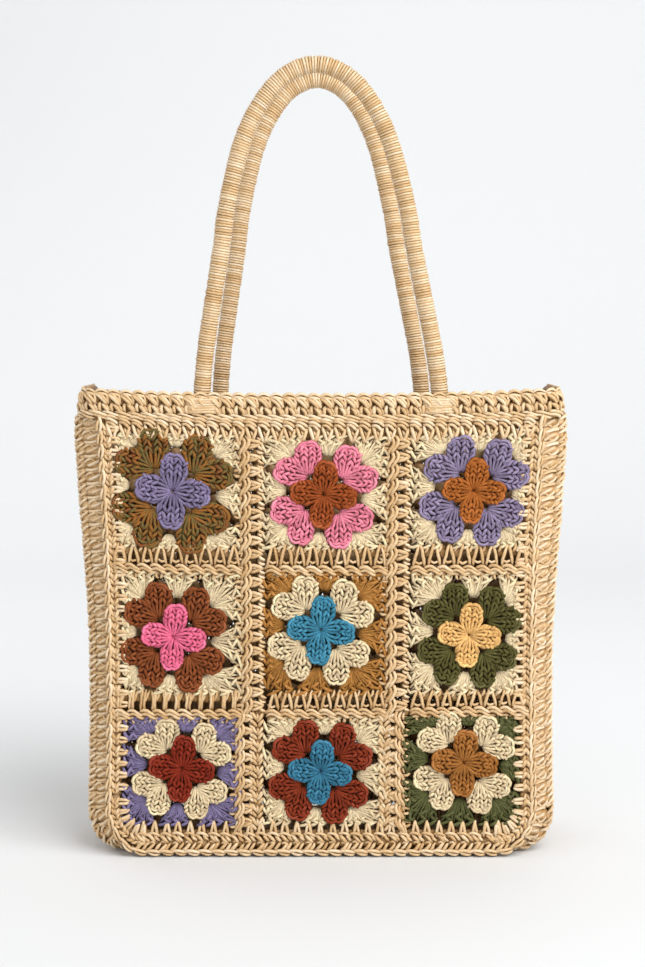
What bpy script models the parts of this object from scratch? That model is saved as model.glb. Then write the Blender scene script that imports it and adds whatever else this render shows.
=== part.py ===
"""Open straw tote bag: a front of nine crocheted flower squares, a ribbed gusset, a plain back and two rope handles.

Metres, +Z up, +X to the right as the front is seen, +Y towards the back. The origin is the middle of the base,
on the floor. The front and back are laid out flat, as such panels are worked, then stood up and settled.
"""

import math

import bmesh
import bpy
from mathutils import Matrix, Vector

# The bag's body
BAG_DEPTH = 0.104  # front face to back face, at the seams
HALF_WIDTH = 0.174  # bag's middle to the middle of a side seam
WALL = 0.0035  # two strands of straw, as crocheted
GAP = 0.0003  # between neighbouring pieces
CORNER_RADIUS = 0.030  # of the seams, at the two bottom corners
CORNER_STEP = 0.0045  # height of each step along the panels' round corners

# How the soft body stands: a little narrower below, pinched at the waist, bellied, and sagging along the rim
BASE_NARROWING = 0.0035
WAIST_PINCH = 0.0055
BELLY = 0.005
FRONT_SAG = 0.0045
BACK_SAG = 0.0115

# The seams that join the front and back to the gusset
SEAM_WIDTH = 0.0088
SEAM_THICKNESS = 0.0063
SEAM_LIFT = 0.0061  # from the floor up to the bottom seam
SEAM_CORNER_STEP = 0.0095

# Bands of the front, from the base up
HEM_ROW_HEIGHT = 0.0108
SQUARE_ROW_HEIGHTS = (0.0871, 0.0976, 0.0894)
ROW_JOIN_WIDTH = 0.0196
TOP_ROW_HEIGHT = 0.0132
RIM_HEIGHT = 0.0215
RIM_BEAD = 0.0016  # how far the rim's edge chain and ridge stand proud
RIM_BULGE = 0.014  # how far the rim's short sides bow out past the seams
RIM_CORNER = 0.014  # radius of the rim's corners, seen from above
RIM_SIDE_STEP = 0.040

# The two joins that run up the front, and the plaited ridge on every join
COLUMN_JOINS = {"left": -0.0544, "right": 0.0640}
COLUMN_JOIN_WIDTH = 0.0202
PLAIT_WIDTH = 0.0086
PLAIT_HEIGHT = 0.0018

# The gusset
SIDE_BULGE = 0.0175  # past the seams, at the sides
RIB_PITCH = 0.0125
RIB_DEPTH = 0.0015
GUSSET_FLAT = 0.6  # share of the gusset's depth that is flat across

# The flowers: a round of four petals on a round of eight, with see-through gaps round them. Shares are of the
# flower's reach, from its middle to the tips of the outer round.
INNER_PETAL_SHARE = 0.6173
PETAL_RISE = 0.0012
PETAL_FOOT = 0.0012  # how deep a petal's solid reaches into the square
SIDE_GAP_SHARE = 0.7901
SIDE_GAP_SIZE = (0.0080, 0.0056)
TIP_GAP_SHARES = (0.3086, 0.9926)
TIP_GAP_SIZE = (0.0080, 0.0030)

# The handles: straw wound on a core
HANDLE_DIAMETER = 0.014
HANDLE_SINK = 0.005  # of the point where the handle starts to curve, under the rim's top
HANDLE_LENGTH_IN_RIM = 0.024  # of each end, inside the rim
HANDLE_STEP = 0.019
TAB_HEIGHT = 0.016
TAB_THICKNESS = 0.0025
TAB_FLANGE = 0.007
TAB_CLEARANCE = 0.0006
TAB_RAISE = 0.002  # of the tab over the handle's end

# Half a handle, from foot to crown: share of its rise, and share of half its foot spacing
HANDLE_PROFILE = (
    (0.000, 1.000),
    (0.110, 0.970),
    (0.215, 0.925),
    (0.450, 0.812),
    (0.545, 0.776),
    (0.660, 0.707),
    (0.775, 0.615),
    (0.870, 0.490),
    (0.945, 0.330),
    (0.986, 0.165),
    (1.000, 0.000),
)
HANDLES = {
    "front": {"side": -1, "spacing": 0.186, "rise": 0.2520, "drift": -0.0035, "lean": 0.008},
    "back": {"side": 1, "spacing": 0.167, "rise": 0.2560, "drift": -0.0020, "lean": 0.008},
}

# Each square: its row from the base, its column, and whether there is room for gaps past the petals' tips. The
# flower's reach and its shift from the square's middle are shares of half the square's shorter side.
SQUARES = {
    "square_r1c1": {"row": 2, "column": 0, "reach_share": 0.9486, "shift_shares": (-0.0360, 0.0068), "tips": False},
    "square_r1c2": {"row": 2, "column": 1, "reach_share": 0.9122, "shift_shares": (-0.0563, -0.0180), "tips": True},
    "square_r1c3": {"row": 2, "column": 2, "reach_share": 0.9122, "shift_shares": (0.0113, 0.0068), "tips": True},
    "square_r2c1": {"row": 1, "column": 0, "reach_share": 0.8351, "shift_shares": (-0.0742, -0.0515), "tips": True},
    "square_r2c2": {"row": 1, "column": 1, "reach_share": 0.8351, "shift_shares": (-0.0742, 0.0742), "tips": True},
    "square_r2c3": {"row": 1, "column": 2, "reach_share": 0.8365, "shift_shares": (0.0042, -0.0232), "tips": True},
    "square_r3c1": {"row": 0, "column": 0, "reach_share": 0.8709, "shift_shares": (0.0509, 0.0462), "tips": True},
    "square_r3c2": {"row": 0, "column": 1, "reach_share": 0.8896, "shift_shares": (-0.0925, 0.0139), "tips": True},
    "square_r3c3": {"row": 0, "column": 2, "reach_share": 0.8053, "shift_shares": (-0.0879, 0.1156), "tips": True},
}
FLOWER_TURN = math.radians(-6)  # all the flowers are turned a little clockwise

YARNS = {
    "straw": (0.76, 0.56, 0.31),
    "square_r1c1": (0.26, 0.20, 0.44),
    "square_r1c2": (0.72, 0.15, 0.32),
    "square_r1c3": (0.25, 0.22, 0.46),
    "square_r2c1": (0.27, 0.08, 0.03),
    "square_r2c2": (0.05, 0.25, 0.46),
    "square_r2c3": (0.09, 0.12, 0.04),
    "square_r3c1": (0.27, 0.03, 0.01),
    "square_r3c2": (0.28, 0.04, 0.01),
    "square_r3c3": (0.37, 0.14, 0.04),
}

# Heights and half widths that follow from the sizes above
SEAM_BASE = SEAM_LIFT + SEAM_WIDTH / 2  # middle of the bottom seam above the floor
CORNER_CENTRE_X = HALF_WIDTH - CORNER_RADIUS
CORNER_CENTRE_Z = SEAM_BASE + CORNER_RADIUS
PANEL_EDGE = SEAM_WIDTH / 2 + GAP  # from a seam's middle to the panel inside it
HEM_BASE = SEAM_BASE + PANEL_EDGE
SQUARES_BASE = HEM_BASE + HEM_ROW_HEIGHT
TOP_ROW_BASE = SQUARES_BASE + sum(SQUARE_ROW_HEIGHTS) + 2 * ROW_JOIN_WIDTH
RIM_BASE = TOP_ROW_BASE + TOP_ROW_HEIGHT
RIM_TOP = RIM_BASE + RIM_HEIGHT

for old in list(bpy.data.objects):
    bpy.data.objects.remove(old, do_unlink=True)
bag = bpy.data.collections.new("straw_bag")
guides = bpy.data.collections.new("guides")
bpy.context.scene.collection.children.link(bag)
bpy.context.scene.collection.children.link(guides)


def material(name):
    made = bpy.data.materials.new(f"{name} yarn")
    made.use_nodes = True
    shader = made.node_tree.nodes["Principled BSDF"]
    shader.inputs["Base Color"].default_value = (*YARNS.get(name, YARNS["straw"]), 1)
    shader.inputs["Roughness"].default_value = 0.62
    shader.inputs["Metallic"].default_value = 0.0
    return made


def add_piece(name, mesh):
    mesh.name = name
    mesh.materials.clear()
    mesh.materials.append(material(name))
    piece = bpy.data.objects.new(name, mesh)
    bag.objects.link(piece)
    return piece


def as_mesh(thing):
    """The evaluated mesh of a curve or an object with modifiers, with its caps welded and its faces turned out."""
    bpy.context.view_layer.update()
    mesh = bpy.data.meshes.new_from_object(thing.evaluated_get(bpy.context.evaluated_depsgraph_get()))
    shape = bmesh.new()
    shape.from_mesh(mesh)
    bmesh.ops.remove_doubles(shape, verts=shape.verts, dist=0.00002)
    bmesh.ops.recalc_face_normals(shape, faces=shape.faces)
    shape.to_mesh(mesh)
    shape.free()
    bpy.data.objects.remove(thing, do_unlink=True)
    return mesh


def poly_curve(name, loops, cyclic=True, dimensions="2D"):
    curve = bpy.data.curves.new(name, "CURVE")
    curve.dimensions = dimensions
    for loop in loops:
        spline = curve.splines.new("POLY")
        spline.points.add(len(loop) - 1)
        for point, place in zip(spline.points, loop):
            point.co = (*place, *([0] * (3 - len(place))), 1)
        spline.use_cyclic_u = cyclic
    thing = bpy.data.objects.new(name, curve)
    guides.objects.link(thing)
    return thing


def flat_plate(name, loops, base, thickness):
    """A plate whose first loop is its outline and whose other loops are cut through it, lying from base up."""
    thing = poly_curve(name, loops)
    thing.data.fill_mode = "BOTH"
    thing.data.extrude = thickness / 2
    thing.location.z = base + thickness / 2
    mesh = as_mesh(thing)
    mesh.transform(Matrix.Translation((0, 0, base + thickness / 2)))
    return mesh


def swept_strip(name, path, profile, cyclic=False):
    """A strip along a path in the plane. Its section is given across, to the left of the path, and up."""
    section = poly_curve(f"{name}_section", [profile])
    section.hide_render = True
    section.display_type = "WIRE"
    thing = poly_curve(name, [path], cyclic=cyclic)
    thing.data.bevel_mode = "OBJECT"
    thing.data.bevel_object = section
    thing.data.use_fill_caps = True
    return as_mesh(thing)


def round_tube(name, path, radius, sides_step, cyclic=False):
    thing = poly_curve(name, [path], cyclic=cyclic, dimensions="3D")
    thing.data.bevel_depth = radius
    thing.data.bevel_resolution = sides_step
    thing.data.use_fill_caps = True
    return as_mesh(thing)


def union(name, meshes):
    """One closed solid from meshes that overlap."""
    things = []
    for index, mesh in enumerate(meshes):
        thing = bpy.data.objects.new(f"{name}_{index}", mesh)
        guides.objects.link(thing)
        things.append(thing)
    for other in things[1:]:
        join = things[0].modifiers.new("join", "BOOLEAN")
        join.operation = "UNION"
        join.solver = "EXACT"
        join.object = other
    joined = as_mesh(things[0])
    shape = bmesh.new()
    shape.from_mesh(joined)
    bmesh.ops.dissolve_limit(shape, angle_limit=math.radians(0.1), verts=shape.verts, edges=shape.edges)
    bmesh.ops.triangulate(shape, faces=shape.faces)
    shape.to_mesh(joined)
    shape.free()
    for other in things[1:]:
        bpy.data.objects.remove(other, do_unlink=True)
    return joined


def settle(place):
    """Where a point of the stiff, square-cut body lies once the soft bag stands by itself."""
    x, y, z = place
    height = min(max(z / RIM_TOP, 0.0), 1.0)
    narrowing = BASE_NARROWING * (1 - height) + WAIST_PINCH * 4 * height * (1 - height)
    side = -1 if y < 0 else 1
    inward = max(0.0, 1 - (x / HALF_WIDTH) ** 2)
    panel_height = min(max((z - HEM_BASE) / (RIM_BASE - HEM_BASE), 0.0), 1.0)
    belly = BELLY * inward * math.sin(math.pi * panel_height)
    near_face = min(1.0, max(0.0, (abs(y) - BAG_DEPTH / 4) / (BAG_DEPTH / 5)))
    sag = (FRONT_SAG if side < 0 else BACK_SAG) * max(0.0, 1 - abs(x / (HALF_WIDTH + RIM_BULGE)) ** 2.5)
    return Vector((
        x * (1 - narrowing / HALF_WIDTH),
        y + side * belly * near_face,
        z - sag * height * height * near_face,
    ))


def settle_mesh(mesh):
    for vertex in mesh.vertices:
        vertex.co = settle(vertex.co)
    mesh.update()


def stand_up(mesh, side):
    """Turn a piece that lies flat upright, its worked face outwards, at the bag's front (-1) or back (1)."""
    turned = Matrix(((1, 0, 0, 0), (0, 0, side, side * (BAG_DEPTH / 2 - WALL)), (0, 1, 0, 0), (0, 0, 0, 1)))
    mesh.transform(turned)
    if turned.to_3x3().determinant() < 0:
        mesh.flip_normals()
    settle_mesh(mesh)


def panel_limit(z):
    """Half the width inside the seams at a height: less at the round bottom corners."""
    if z >= CORNER_CENTRE_Z:
        return HALF_WIDTH - PANEL_EDGE
    radius = CORNER_RADIUS - PANEL_EDGE
    return CORNER_CENTRE_X + math.sqrt(max(0.0, radius**2 - (CORNER_CENTRE_Z - z) ** 2))


def between(start, end, longest):
    """Values from start to end, no more than longest apart."""
    steps = max(1, math.ceil(abs(end - start) / longest))
    return [start + (end - start) * step / steps for step in range(steps + 1)]


def patch_outline(left, right, low, high, marks=()):
    """A rectangle of the panel, kept inside the seams, with extra points at the marks. A side of None is the seam."""
    heights = [low, high]
    if low < CORNER_CENTRE_Z and (left is None or right is None):
        heights = between(low, min(high, CORNER_CENTRE_Z), CORNER_STEP)
        if high > CORNER_CENTRE_Z:
            heights.append(high)

    def at(side, z, sign):
        return sign * panel_limit(z) if side is None else side

    def edge(z):
        start, end = at(left, z, -1), at(right, z, 1)
        return [(x, z) for x in [start, *(mark for mark in marks if start < mark < end), end]]

    loop = edge(low) + [(at(right, z, 1), z) for z in heights[1:-1] if right is None]
    loop += reversed(edge(high))
    return loop + [(at(left, z, -1), z) for z in reversed(heights[1:-1]) if left is None]


SEAM_SIDE = RIM_BASE - GAP - CORNER_CENTRE_Z  # lengths of the seam's straight and round stretches
SEAM_ARC = CORNER_RADIUS * math.pi / 2
SEAM_LENGTH = 2 * SEAM_SIDE + 2 * SEAM_ARC + 2 * CORNER_CENTRE_X


def seam_point(walked):
    """A place on the seam's middle line, down the left, along the base and up the right, and the way out there."""
    mirrored = walked > SEAM_LENGTH / 2
    length = SEAM_LENGTH - walked if mirrored else walked
    if length <= SEAM_SIDE:
        x, z, out = -HALF_WIDTH, RIM_BASE - GAP - length, (-1.0, 0.0)
    elif length <= SEAM_SIDE + SEAM_ARC:
        turn = (length - SEAM_SIDE) / CORNER_RADIUS
        out = (-math.cos(turn), -math.sin(turn))
        x = -CORNER_CENTRE_X + CORNER_RADIUS * out[0]
        z = CORNER_CENTRE_Z + CORNER_RADIUS * out[1]
    else:
        x, z, out = -CORNER_CENTRE_X + (length - SEAM_SIDE - SEAM_ARC), SEAM_BASE, (0.0, -1.0)
    flip = -1 if mirrored else 1
    return flip * x, z, flip * out[0], out[1]


# The nine squares


def gap_outline(centre, size, sides):
    loop = []
    for index in range(sides):
        angle = 2 * math.pi * index / sides
        loop.append((centre[0] + size[0] / 2 * math.cos(angle), centre[1] + size[1] / 2 * math.sin(angle)))
    return loop


def four_petals(reach):
    """The inner round: a petal towards each side."""
    loop = []
    for petal in range(4):
        for offset, share in ((-26, 0.95), (0, 1.0), (26, 0.95), (45, 0.62)):
            angle = math.radians(90 * petal + offset)
            out = INNER_PETAL_SHARE * reach * share
            loop.append((out * math.cos(angle), out * math.sin(angle)))
    return loop


def moved(loop, centre, turn=0.0):
    cosine, sine = math.cos(turn), math.sin(turn)
    return [(centre[0] + x * cosine - y * sine, centre[1] + x * sine + y * cosine) for x, y in loop]


def eight_petals(reach):
    """The outer round: a pair of petals at each corner, with a wide notch on each side and a shallow one between."""
    loop = []
    for corner in range(4):
        for offset, share in ((-35, 0.66), (-31, 0.97), (-14, 0.99), (0, 0.80), (14, 0.99), (31, 0.97), (35, 0.66)):
            angle = math.radians(45 + 90 * corner + offset)
            loop.append((reach * share * math.cos(angle), reach * share * math.sin(angle)))
    return loop


def column_edges():
    """Left and right edge of each column of squares. None is the seam."""
    half_join = COLUMN_JOIN_WIDTH / 2
    left, right = COLUMN_JOINS["left"], COLUMN_JOINS["right"]
    return (
        (None, left - half_join - GAP),
        (left + half_join + GAP, right - half_join - GAP),
        (right + half_join + GAP, None),
    )


def column_marks():
    """Where the columns' edges lie across the bag: every long piece bends there, so neighbours stay in line."""
    return [edge for column in column_edges() for edge in column if edge is not None]


def row_edges():
    """Bottom and top edge of each row of squares, from the base up."""
    edges, low = [], SQUARES_BASE
    for height in SQUARE_ROW_HEIGHTS:
        edges.append((low + GAP, low + height - GAP))
        low += height + ROW_JOIN_WIDTH
    return edges


def square(name, row, column, reach_share, shift_shares, tips):
    left, right = column_edges()[column]
    low, high = row_edges()[row]
    outline = patch_outline(left, right, low, high)
    inner_left = left if left is not None else -panel_limit(CORNER_CENTRE_Z)
    inner_right = right if right is not None else panel_limit(CORNER_CENTRE_Z)
    half_side = min(inner_right - inner_left, high - low) / 2
    reach = reach_share * half_side
    centre = (
        (inner_left + inner_right) / 2 + shift_shares[0] * half_side,
        (low + high) / 2 + shift_shares[1] * half_side,
    )
    gaps = []
    for quarter in range(4):
        turn = FLOWER_TURN + quarter * math.pi / 2
        side_gap = gap_outline((0, SIDE_GAP_SHARE * reach), SIDE_GAP_SIZE, 6)
        gaps.append(moved(side_gap, centre, turn))
        for hand in (-1, 1) if tips else ():
            place = (hand * TIP_GAP_SHARES[0] * reach, TIP_GAP_SHARES[1] * reach)
            tip_gap = gap_outline(place, TIP_GAP_SIZE, 4)
            gaps.append(moved(tip_gap, centre, turn))
    plate = flat_plate(name, [outline, *gaps], 0, WALL)
    outer = moved(eight_petals(reach), centre, FLOWER_TURN)
    inner = moved(four_petals(reach), centre, FLOWER_TURN)
    raised = flat_plate(f"{name}_outer", [outer], WALL - PETAL_FOOT, PETAL_FOOT + PETAL_RISE)
    deeper = 1.4 * PETAL_FOOT
    centre_round = flat_plate(f"{name}_inner", [inner], WALL - deeper, deeper + 2 * PETAL_RISE)
    mesh = union(name, [plate, raised, centre_round])
    stand_up(mesh, -1)
    add_piece(name, mesh)


for square_name, facts in SQUARES.items():
    square(square_name, **facts)


# The joins between the squares: a plaited ridge with a row of posts beside it


def join_profile(width):
    half = width / 2
    ridge = -half + PLAIT_WIDTH
    slope = PLAIT_WIDTH / 5
    return [
        (-half, 0),
        (half, 0),
        (half, WALL),
        (ridge, WALL),
        (ridge - slope, WALL + PLAIT_HEIGHT),
        (-half + slope, WALL + PLAIT_HEIGHT),
        (-half, WALL),
    ]


for side_name, middle in COLUMN_JOINS.items():
    heights = [edge for row in reversed(row_edges()) for edge in reversed(row)]
    join_name = f"column_join_{side_name}"
    join = swept_strip(join_name, [(middle, z) for z in heights], join_profile(COLUMN_JOIN_WIDTH))
    stand_up(join, -1)
    add_piece(join_name, join)

for upper_row in (1, 2):
    join_middle = row_edges()[upper_row][0] - GAP - ROW_JOIN_WIDTH / 2
    for column, (left, right) in enumerate(column_edges()):
        start = -panel_limit(join_middle) if left is None else left
        end = panel_limit(join_middle) if right is None else right
        join_name = f"row_join_{3 - upper_row}_{column + 1}"
        join = swept_strip(
            join_name, [(start, join_middle), (end, join_middle)], join_profile(ROW_JOIN_WIDTH)
        )
        stand_up(join, -1)
        add_piece(join_name, join)

# The hem row under the squares, and the top row over them

for band_name, low, high in (
    ("hem_row", HEM_BASE, SQUARES_BASE - GAP),
    ("top_row", TOP_ROW_BASE + GAP, RIM_BASE - GAP),
):
    band = flat_plate(band_name, [patch_outline(None, None, low, high, column_marks())], 0, WALL)
    stand_up(band, -1)
    add_piece(band_name, band)

# The back: one plain crocheted panel


def grid_mesh(columns, rows, place):
    """A grid of faces whose corners are put by place(column, row)."""
    shape = bmesh.new()
    bmesh.ops.create_grid(shape, x_segments=columns, y_segments=rows, size=0.5)
    across = sorted({round(vertex.co.x, 5) for vertex in shape.verts})
    up = sorted({round(vertex.co.y, 5) for vertex in shape.verts})
    column_of = {value: index for index, value in enumerate(across)}
    row_of = {value: index for index, value in enumerate(up)}
    for vertex in shape.verts:
        vertex.co = place(column_of[round(vertex.co.x, 5)], row_of[round(vertex.co.y, 5)])
    mesh = bpy.data.meshes.new("grid")
    shape.to_mesh(mesh)
    shape.free()
    return mesh


def thickened(name, mesh, thickness, offset):
    thing = bpy.data.objects.new(name, mesh)
    guides.objects.link(thing)
    wall = thing.modifiers.new("wall", "SOLIDIFY")
    wall.thickness = thickness
    wall.offset = offset
    wall.use_even_offset = True
    return as_mesh(thing)


back_heights = between(HEM_BASE, CORNER_CENTRE_Z, CORNER_STEP)
back_heights += [edge for row in row_edges() for edge in row if edge > CORNER_CENTRE_Z] + [RIM_BASE - GAP]
back_shares = [-1.0, *(mark / panel_limit(CORNER_CENTRE_Z) for mark in column_marks()), 1.0]


def back_place(column, row):
    z = back_heights[row]
    return Vector((panel_limit(z) * back_shares[column], z, WALL))


back = thickened("back_panel", grid_mesh(len(back_shares) - 1, len(back_heights) - 1, back_place), WALL, -1)
stand_up(back, 1)
add_piece("back_panel", back)

# The two seams: a plaited ridge down, along and up, where the panels meet the gusset


def seam_stations():
    """Walked lengths: the rows' edges on the sides, and even steps round the corners."""
    side = [RIM_BASE - GAP - edge for row in row_edges() for edge in row if edge > CORNER_CENTRE_Z]
    half = [0.0, *sorted(side), *between(SEAM_SIDE, SEAM_SIDE + SEAM_ARC, SEAM_CORNER_STEP)]
    base = [SEAM_SIDE + SEAM_ARC + CORNER_CENTRE_X + mark for mark in column_marks()]
    return half + base + [SEAM_LENGTH - mark for mark in reversed(half)]


for side_name, side in (("front", -1), ("back", 1)):
    seam = round_tube(f"{side_name}_seam", [seam_point(mark)[:2] for mark in seam_stations()], SEAM_WIDTH / 2, 1)
    squash = Matrix.Diagonal((1, 1, SEAM_THICKNESS / (2 * max(vertex.co.z for vertex in seam.vertices)), 1))
    seam.transform(Matrix.Translation((0, 0, SEAM_THICKNESS / 2)) @ squash)
    stand_up(seam, side)
    add_piece(f"{side_name}_seam", seam)

# The gusset: ribs across the depth, from the rim down one side, under the base and up the other side

GUSSET_SHOULDER = (1 + GUSSET_FLAT) / 2 + 0.02
GUSSET_ACROSS = (-1.0, -GUSSET_SHOULDER, -GUSSET_FLAT, GUSSET_FLAT, GUSSET_SHOULDER, 1.0)


def gusset_bulge(share):
    """How far the gusset bows out, as a share of its most, at a share of half its depth."""
    past_flat = max(0.0, (abs(share) - GUSSET_FLAT) / (1 - GUSSET_FLAT))
    return 1 - past_flat**2


def gusset_reach(out_x):
    """The gusset's full bulge: the side's on the sides, the seam's height at the base, which lies on the floor."""
    sideways = abs(out_x)
    return SEAM_BASE + (SIDE_BULGE - SEAM_BASE) * sideways * sideways


def gusset_stations():
    """Walked length and depth below the ribs' crests of each line across the gusset."""
    ribs = 2 * round(SEAM_LENGTH / RIB_PITCH / 2) + 1
    pitch = SEAM_LENGTH / ribs
    stations = [(0.0, 0.0)]
    for rib in range(ribs):
        middle = (rib + 0.5) * pitch
        if rib:
            stations.append((rib * pitch, RIB_DEPTH))
        if seam_point(middle)[2] == 0.0:
            stations += [(middle - pitch / 4, 0.0), (middle + pitch / 4, 0.0)]
        else:
            stations.append((middle, 0.0))
    return stations + [(SEAM_LENGTH, 0.0)]


GUSSET_EDGE = BAG_DEPTH / 2 - WALL - GAP  # just behind the seams
stations = gusset_stations()


def gusset_place(column, row):
    walked, below = stations[column]
    share = GUSSET_ACROSS[row]
    x, z, out_x, out_z = seam_point(walked)
    out = gusset_reach(out_x) * gusset_bulge(share) - below * gusset_bulge(share)
    return Vector((x + out_x * out, share * GUSSET_EDGE, z + out_z * out))


gusset = grid_mesh(len(stations) - 1, len(GUSSET_ACROSS) - 1, gusset_place)
gusset = thickened("gusset", gusset, WALL, 1)
settle_mesh(gusset)
add_piece("gusset", gusset)

# The rim: a row of posts all round the mouth, between a ridge and the chain of its edge


def rim_plan():
    """The outline of the rim seen from above, anticlockwise from the front's left end."""
    half_depth = BAG_DEPTH / 2
    turn = RIM_CORNER
    side_x = HALF_WIDTH + RIM_BULGE
    loop = [(x, -half_depth) for x in [turn - side_x, *column_marks(), side_x - turn]]
    for step in (1, 2):
        angle = math.pi / 2 * step / 3
        loop.append((side_x - turn + turn * math.sin(angle), -half_depth + turn - turn * math.cos(angle)))
    loop += [(side_x, y) for y in between(-half_depth + turn, 0, RIM_SIDE_STEP)]
    return loop


quarter_plan = rim_plan()
right_half = quarter_plan + [(x, -y) for x, y in reversed(quarter_plan[:-1])]
front_edge = [place for place in right_half if place[1] < -BAG_DEPTH / 2 + 0.0001]
right_side = right_half[len(front_edge):-len(front_edge)]
plan = front_edge + right_side + [(x, -y) for x, y in reversed(front_edge)]
plan += [(-x, -y) for x, y in right_side]
rim_profile = [
    (0, RIM_BASE),
    (-RIM_BEAD, RIM_BASE + RIM_HEIGHT * 0.05),
    (-RIM_BEAD, RIM_BASE + RIM_HEIGHT * 0.16),
    (0, RIM_BASE + RIM_HEIGHT * 0.24),
    (0, RIM_TOP - RIM_HEIGHT * 0.20),
    (-RIM_BEAD / 2, RIM_TOP - RIM_HEIGHT * 0.05),
    (0, RIM_TOP),
    (WALL, RIM_TOP),
    (WALL, RIM_BASE),
]
rim = swept_strip("rim_band", plan, rim_profile, cyclic=True)
settle_mesh(rim)
add_piece("rim_band", rim)

# The handles, and the crocheted tab that holds each end inside the rim


def smooth_line(points, spacing):
    """Points read at even steps from a smooth curve through the given ones."""
    padded = [2 * points[0] - points[1], *points, 2 * points[-1] - points[-2]]
    fine = []
    for index in range(1, len(padded) - 2):
        before, start, end, after = padded[index - 1 : index + 3]
        for step in range(12):
            t = step / 12
            fine.append(
                0.5
                * (
                    2 * start
                    + (end - before) * t
                    + (2 * before - 5 * start + 4 * end - after) * t * t
                    + (3 * start - before - 3 * end + after) * t**3
                )
            )
    fine.append(points[-1])
    lengths = [0.0]
    for start, end in zip(fine, fine[1:]):
        lengths.append(lengths[-1] + (end - start).length)
    count = round(lengths[-1] / spacing)
    even, index = [], 0
    for step in range(count + 1):
        walked = lengths[-1] * step / count
        while index < len(fine) - 2 and lengths[index + 1] < walked:
            index += 1
        share = (walked - lengths[index]) / max(lengths[index + 1] - lengths[index], 1e-9)
        even.append(fine[index].lerp(fine[index + 1], min(share, 1.0)))
    return even


HANDLE_FOOT_Z = RIM_TOP - HANDLE_SINK  # where a handle leaves the rim
HANDLE_Y = BAG_DEPTH / 2 - WALL - GAP - HANDLE_DIAMETER / 2


def handle_route(side, spacing, rise, drift, lean):
    right = []
    for up, out in HANDLE_PROFILE:
        right.append(Vector((
            out * spacing / 2 + drift * up,
            side * (HANDLE_Y + lean * up),
            HANDLE_FOOT_Z + rise * up,
        )))
    left = [Vector((2 * drift * up - point.x, point.y, point.z)) for point, (up, _) in zip(right, HANDLE_PROFILE)]
    over = smooth_line(left[:-1] + right[::-1], HANDLE_STEP)
    foot_z = HANDLE_FOOT_Z - HANDLE_LENGTH_IN_RIM
    foot_left = Vector((-spacing / 2, side * HANDLE_Y, foot_z))
    foot_right = Vector((spacing / 2, side * HANDLE_Y, foot_z))
    return [foot_left, *over, foot_right]


def tab_outline():
    """A tab seen from above, its flat side to the rim: two flanges and a loop round the handle's end."""
    middle = GAP + HANDLE_DIAMETER / 2
    inner = HANDLE_DIAMETER / 2 + TAB_CLEARANCE
    outer = inner + TAB_THICKNESS
    reach = outer + TAB_FLANGE
    arc = [math.pi * step / 6 for step in range(7)]
    loop = [(-reach, GAP), (-inner, GAP)]
    loop += [(-inner * math.cos(angle), middle + inner * math.sin(angle)) for angle in arc]
    loop += [(inner, GAP), (reach, GAP), (reach, GAP + TAB_THICKNESS), (outer, GAP + TAB_THICKNESS)]
    loop += [(outer * math.cos(angle), middle + outer * math.sin(angle)) for angle in arc]
    return loop + [(-outer, GAP + TAB_THICKNESS), (-reach, GAP + TAB_THICKNESS)]


for handle_name, facts in HANDLES.items():
    handle = round_tube(f"handle_{handle_name}", handle_route(**facts), HANDLE_DIAMETER / 2, 2)
    add_piece(f"handle_{handle_name}", handle)
    for end_name, end_x in (("left", -facts["spacing"] / 2), ("right", facts["spacing"] / 2)):
        tab_name = f"handle_tab_{handle_name}_{end_name}"
        low = HANDLE_FOOT_Z - HANDLE_LENGTH_IN_RIM + TAB_RAISE
        tab = flat_plate(tab_name, [tab_outline()], low, TAB_HEIGHT)
        if facts["side"] > 0:
            tab.transform(Matrix.Rotation(math.pi, 4, "Z"))
        inner_face = facts["side"] * (BAG_DEPTH / 2 - WALL)
        tab.transform(Matrix.Translation((end_x, inner_face, 0)))
        add_piece(tab_name, tab)

for guide in list(guides.objects):
    guide.hide_render = True
    guide.display_type = "WIRE"
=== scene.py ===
import math

import bpy
import numpy as np
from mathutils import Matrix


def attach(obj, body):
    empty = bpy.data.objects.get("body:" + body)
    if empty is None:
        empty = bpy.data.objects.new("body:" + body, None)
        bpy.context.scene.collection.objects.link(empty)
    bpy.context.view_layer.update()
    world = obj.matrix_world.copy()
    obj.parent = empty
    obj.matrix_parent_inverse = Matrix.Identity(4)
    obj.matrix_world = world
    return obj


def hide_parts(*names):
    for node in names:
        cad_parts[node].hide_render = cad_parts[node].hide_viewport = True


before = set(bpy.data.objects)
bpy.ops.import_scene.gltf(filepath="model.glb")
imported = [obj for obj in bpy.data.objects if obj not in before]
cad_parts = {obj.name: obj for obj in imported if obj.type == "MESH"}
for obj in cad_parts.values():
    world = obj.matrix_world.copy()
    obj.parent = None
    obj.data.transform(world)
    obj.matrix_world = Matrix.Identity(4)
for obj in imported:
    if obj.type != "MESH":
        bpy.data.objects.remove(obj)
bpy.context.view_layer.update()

# The nine flower squares. Each is crocheted from the middle out in three rounds of two-ply cotton yarn: a
# flower of four petals, a round of eight petals on its corners, and a round of fans that squares it off. The
# squares hang in the straw work at their edges, and the gaps between their petals are open right through.

BAG_DEPTH = 0.104
HALF_WIDTH = 0.174
WALL = 0.0035
RIM_TOP = 0.3740
RIM_BASE = 0.3525
HEM_BASE = 0.0152
RIM_BULGE = 0.014
BASE_NARROWING = 0.0035
WAIST_NARROWING = 0.0055
BELLY = 0.005
FRONT_SAG = 0.0045
BACK_SAG = 0.0068
BACK_DROP = 0.0050
HEIGHT_SCATTER_MM = 0.15
WIDTH_SCATTER = 0.06
TIGHT_WIDTH_SCATTER = 0.02
GRAIN_SPREAD_MM = 400
MM = 0.001
chance = np.random.default_rng(52)


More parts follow.
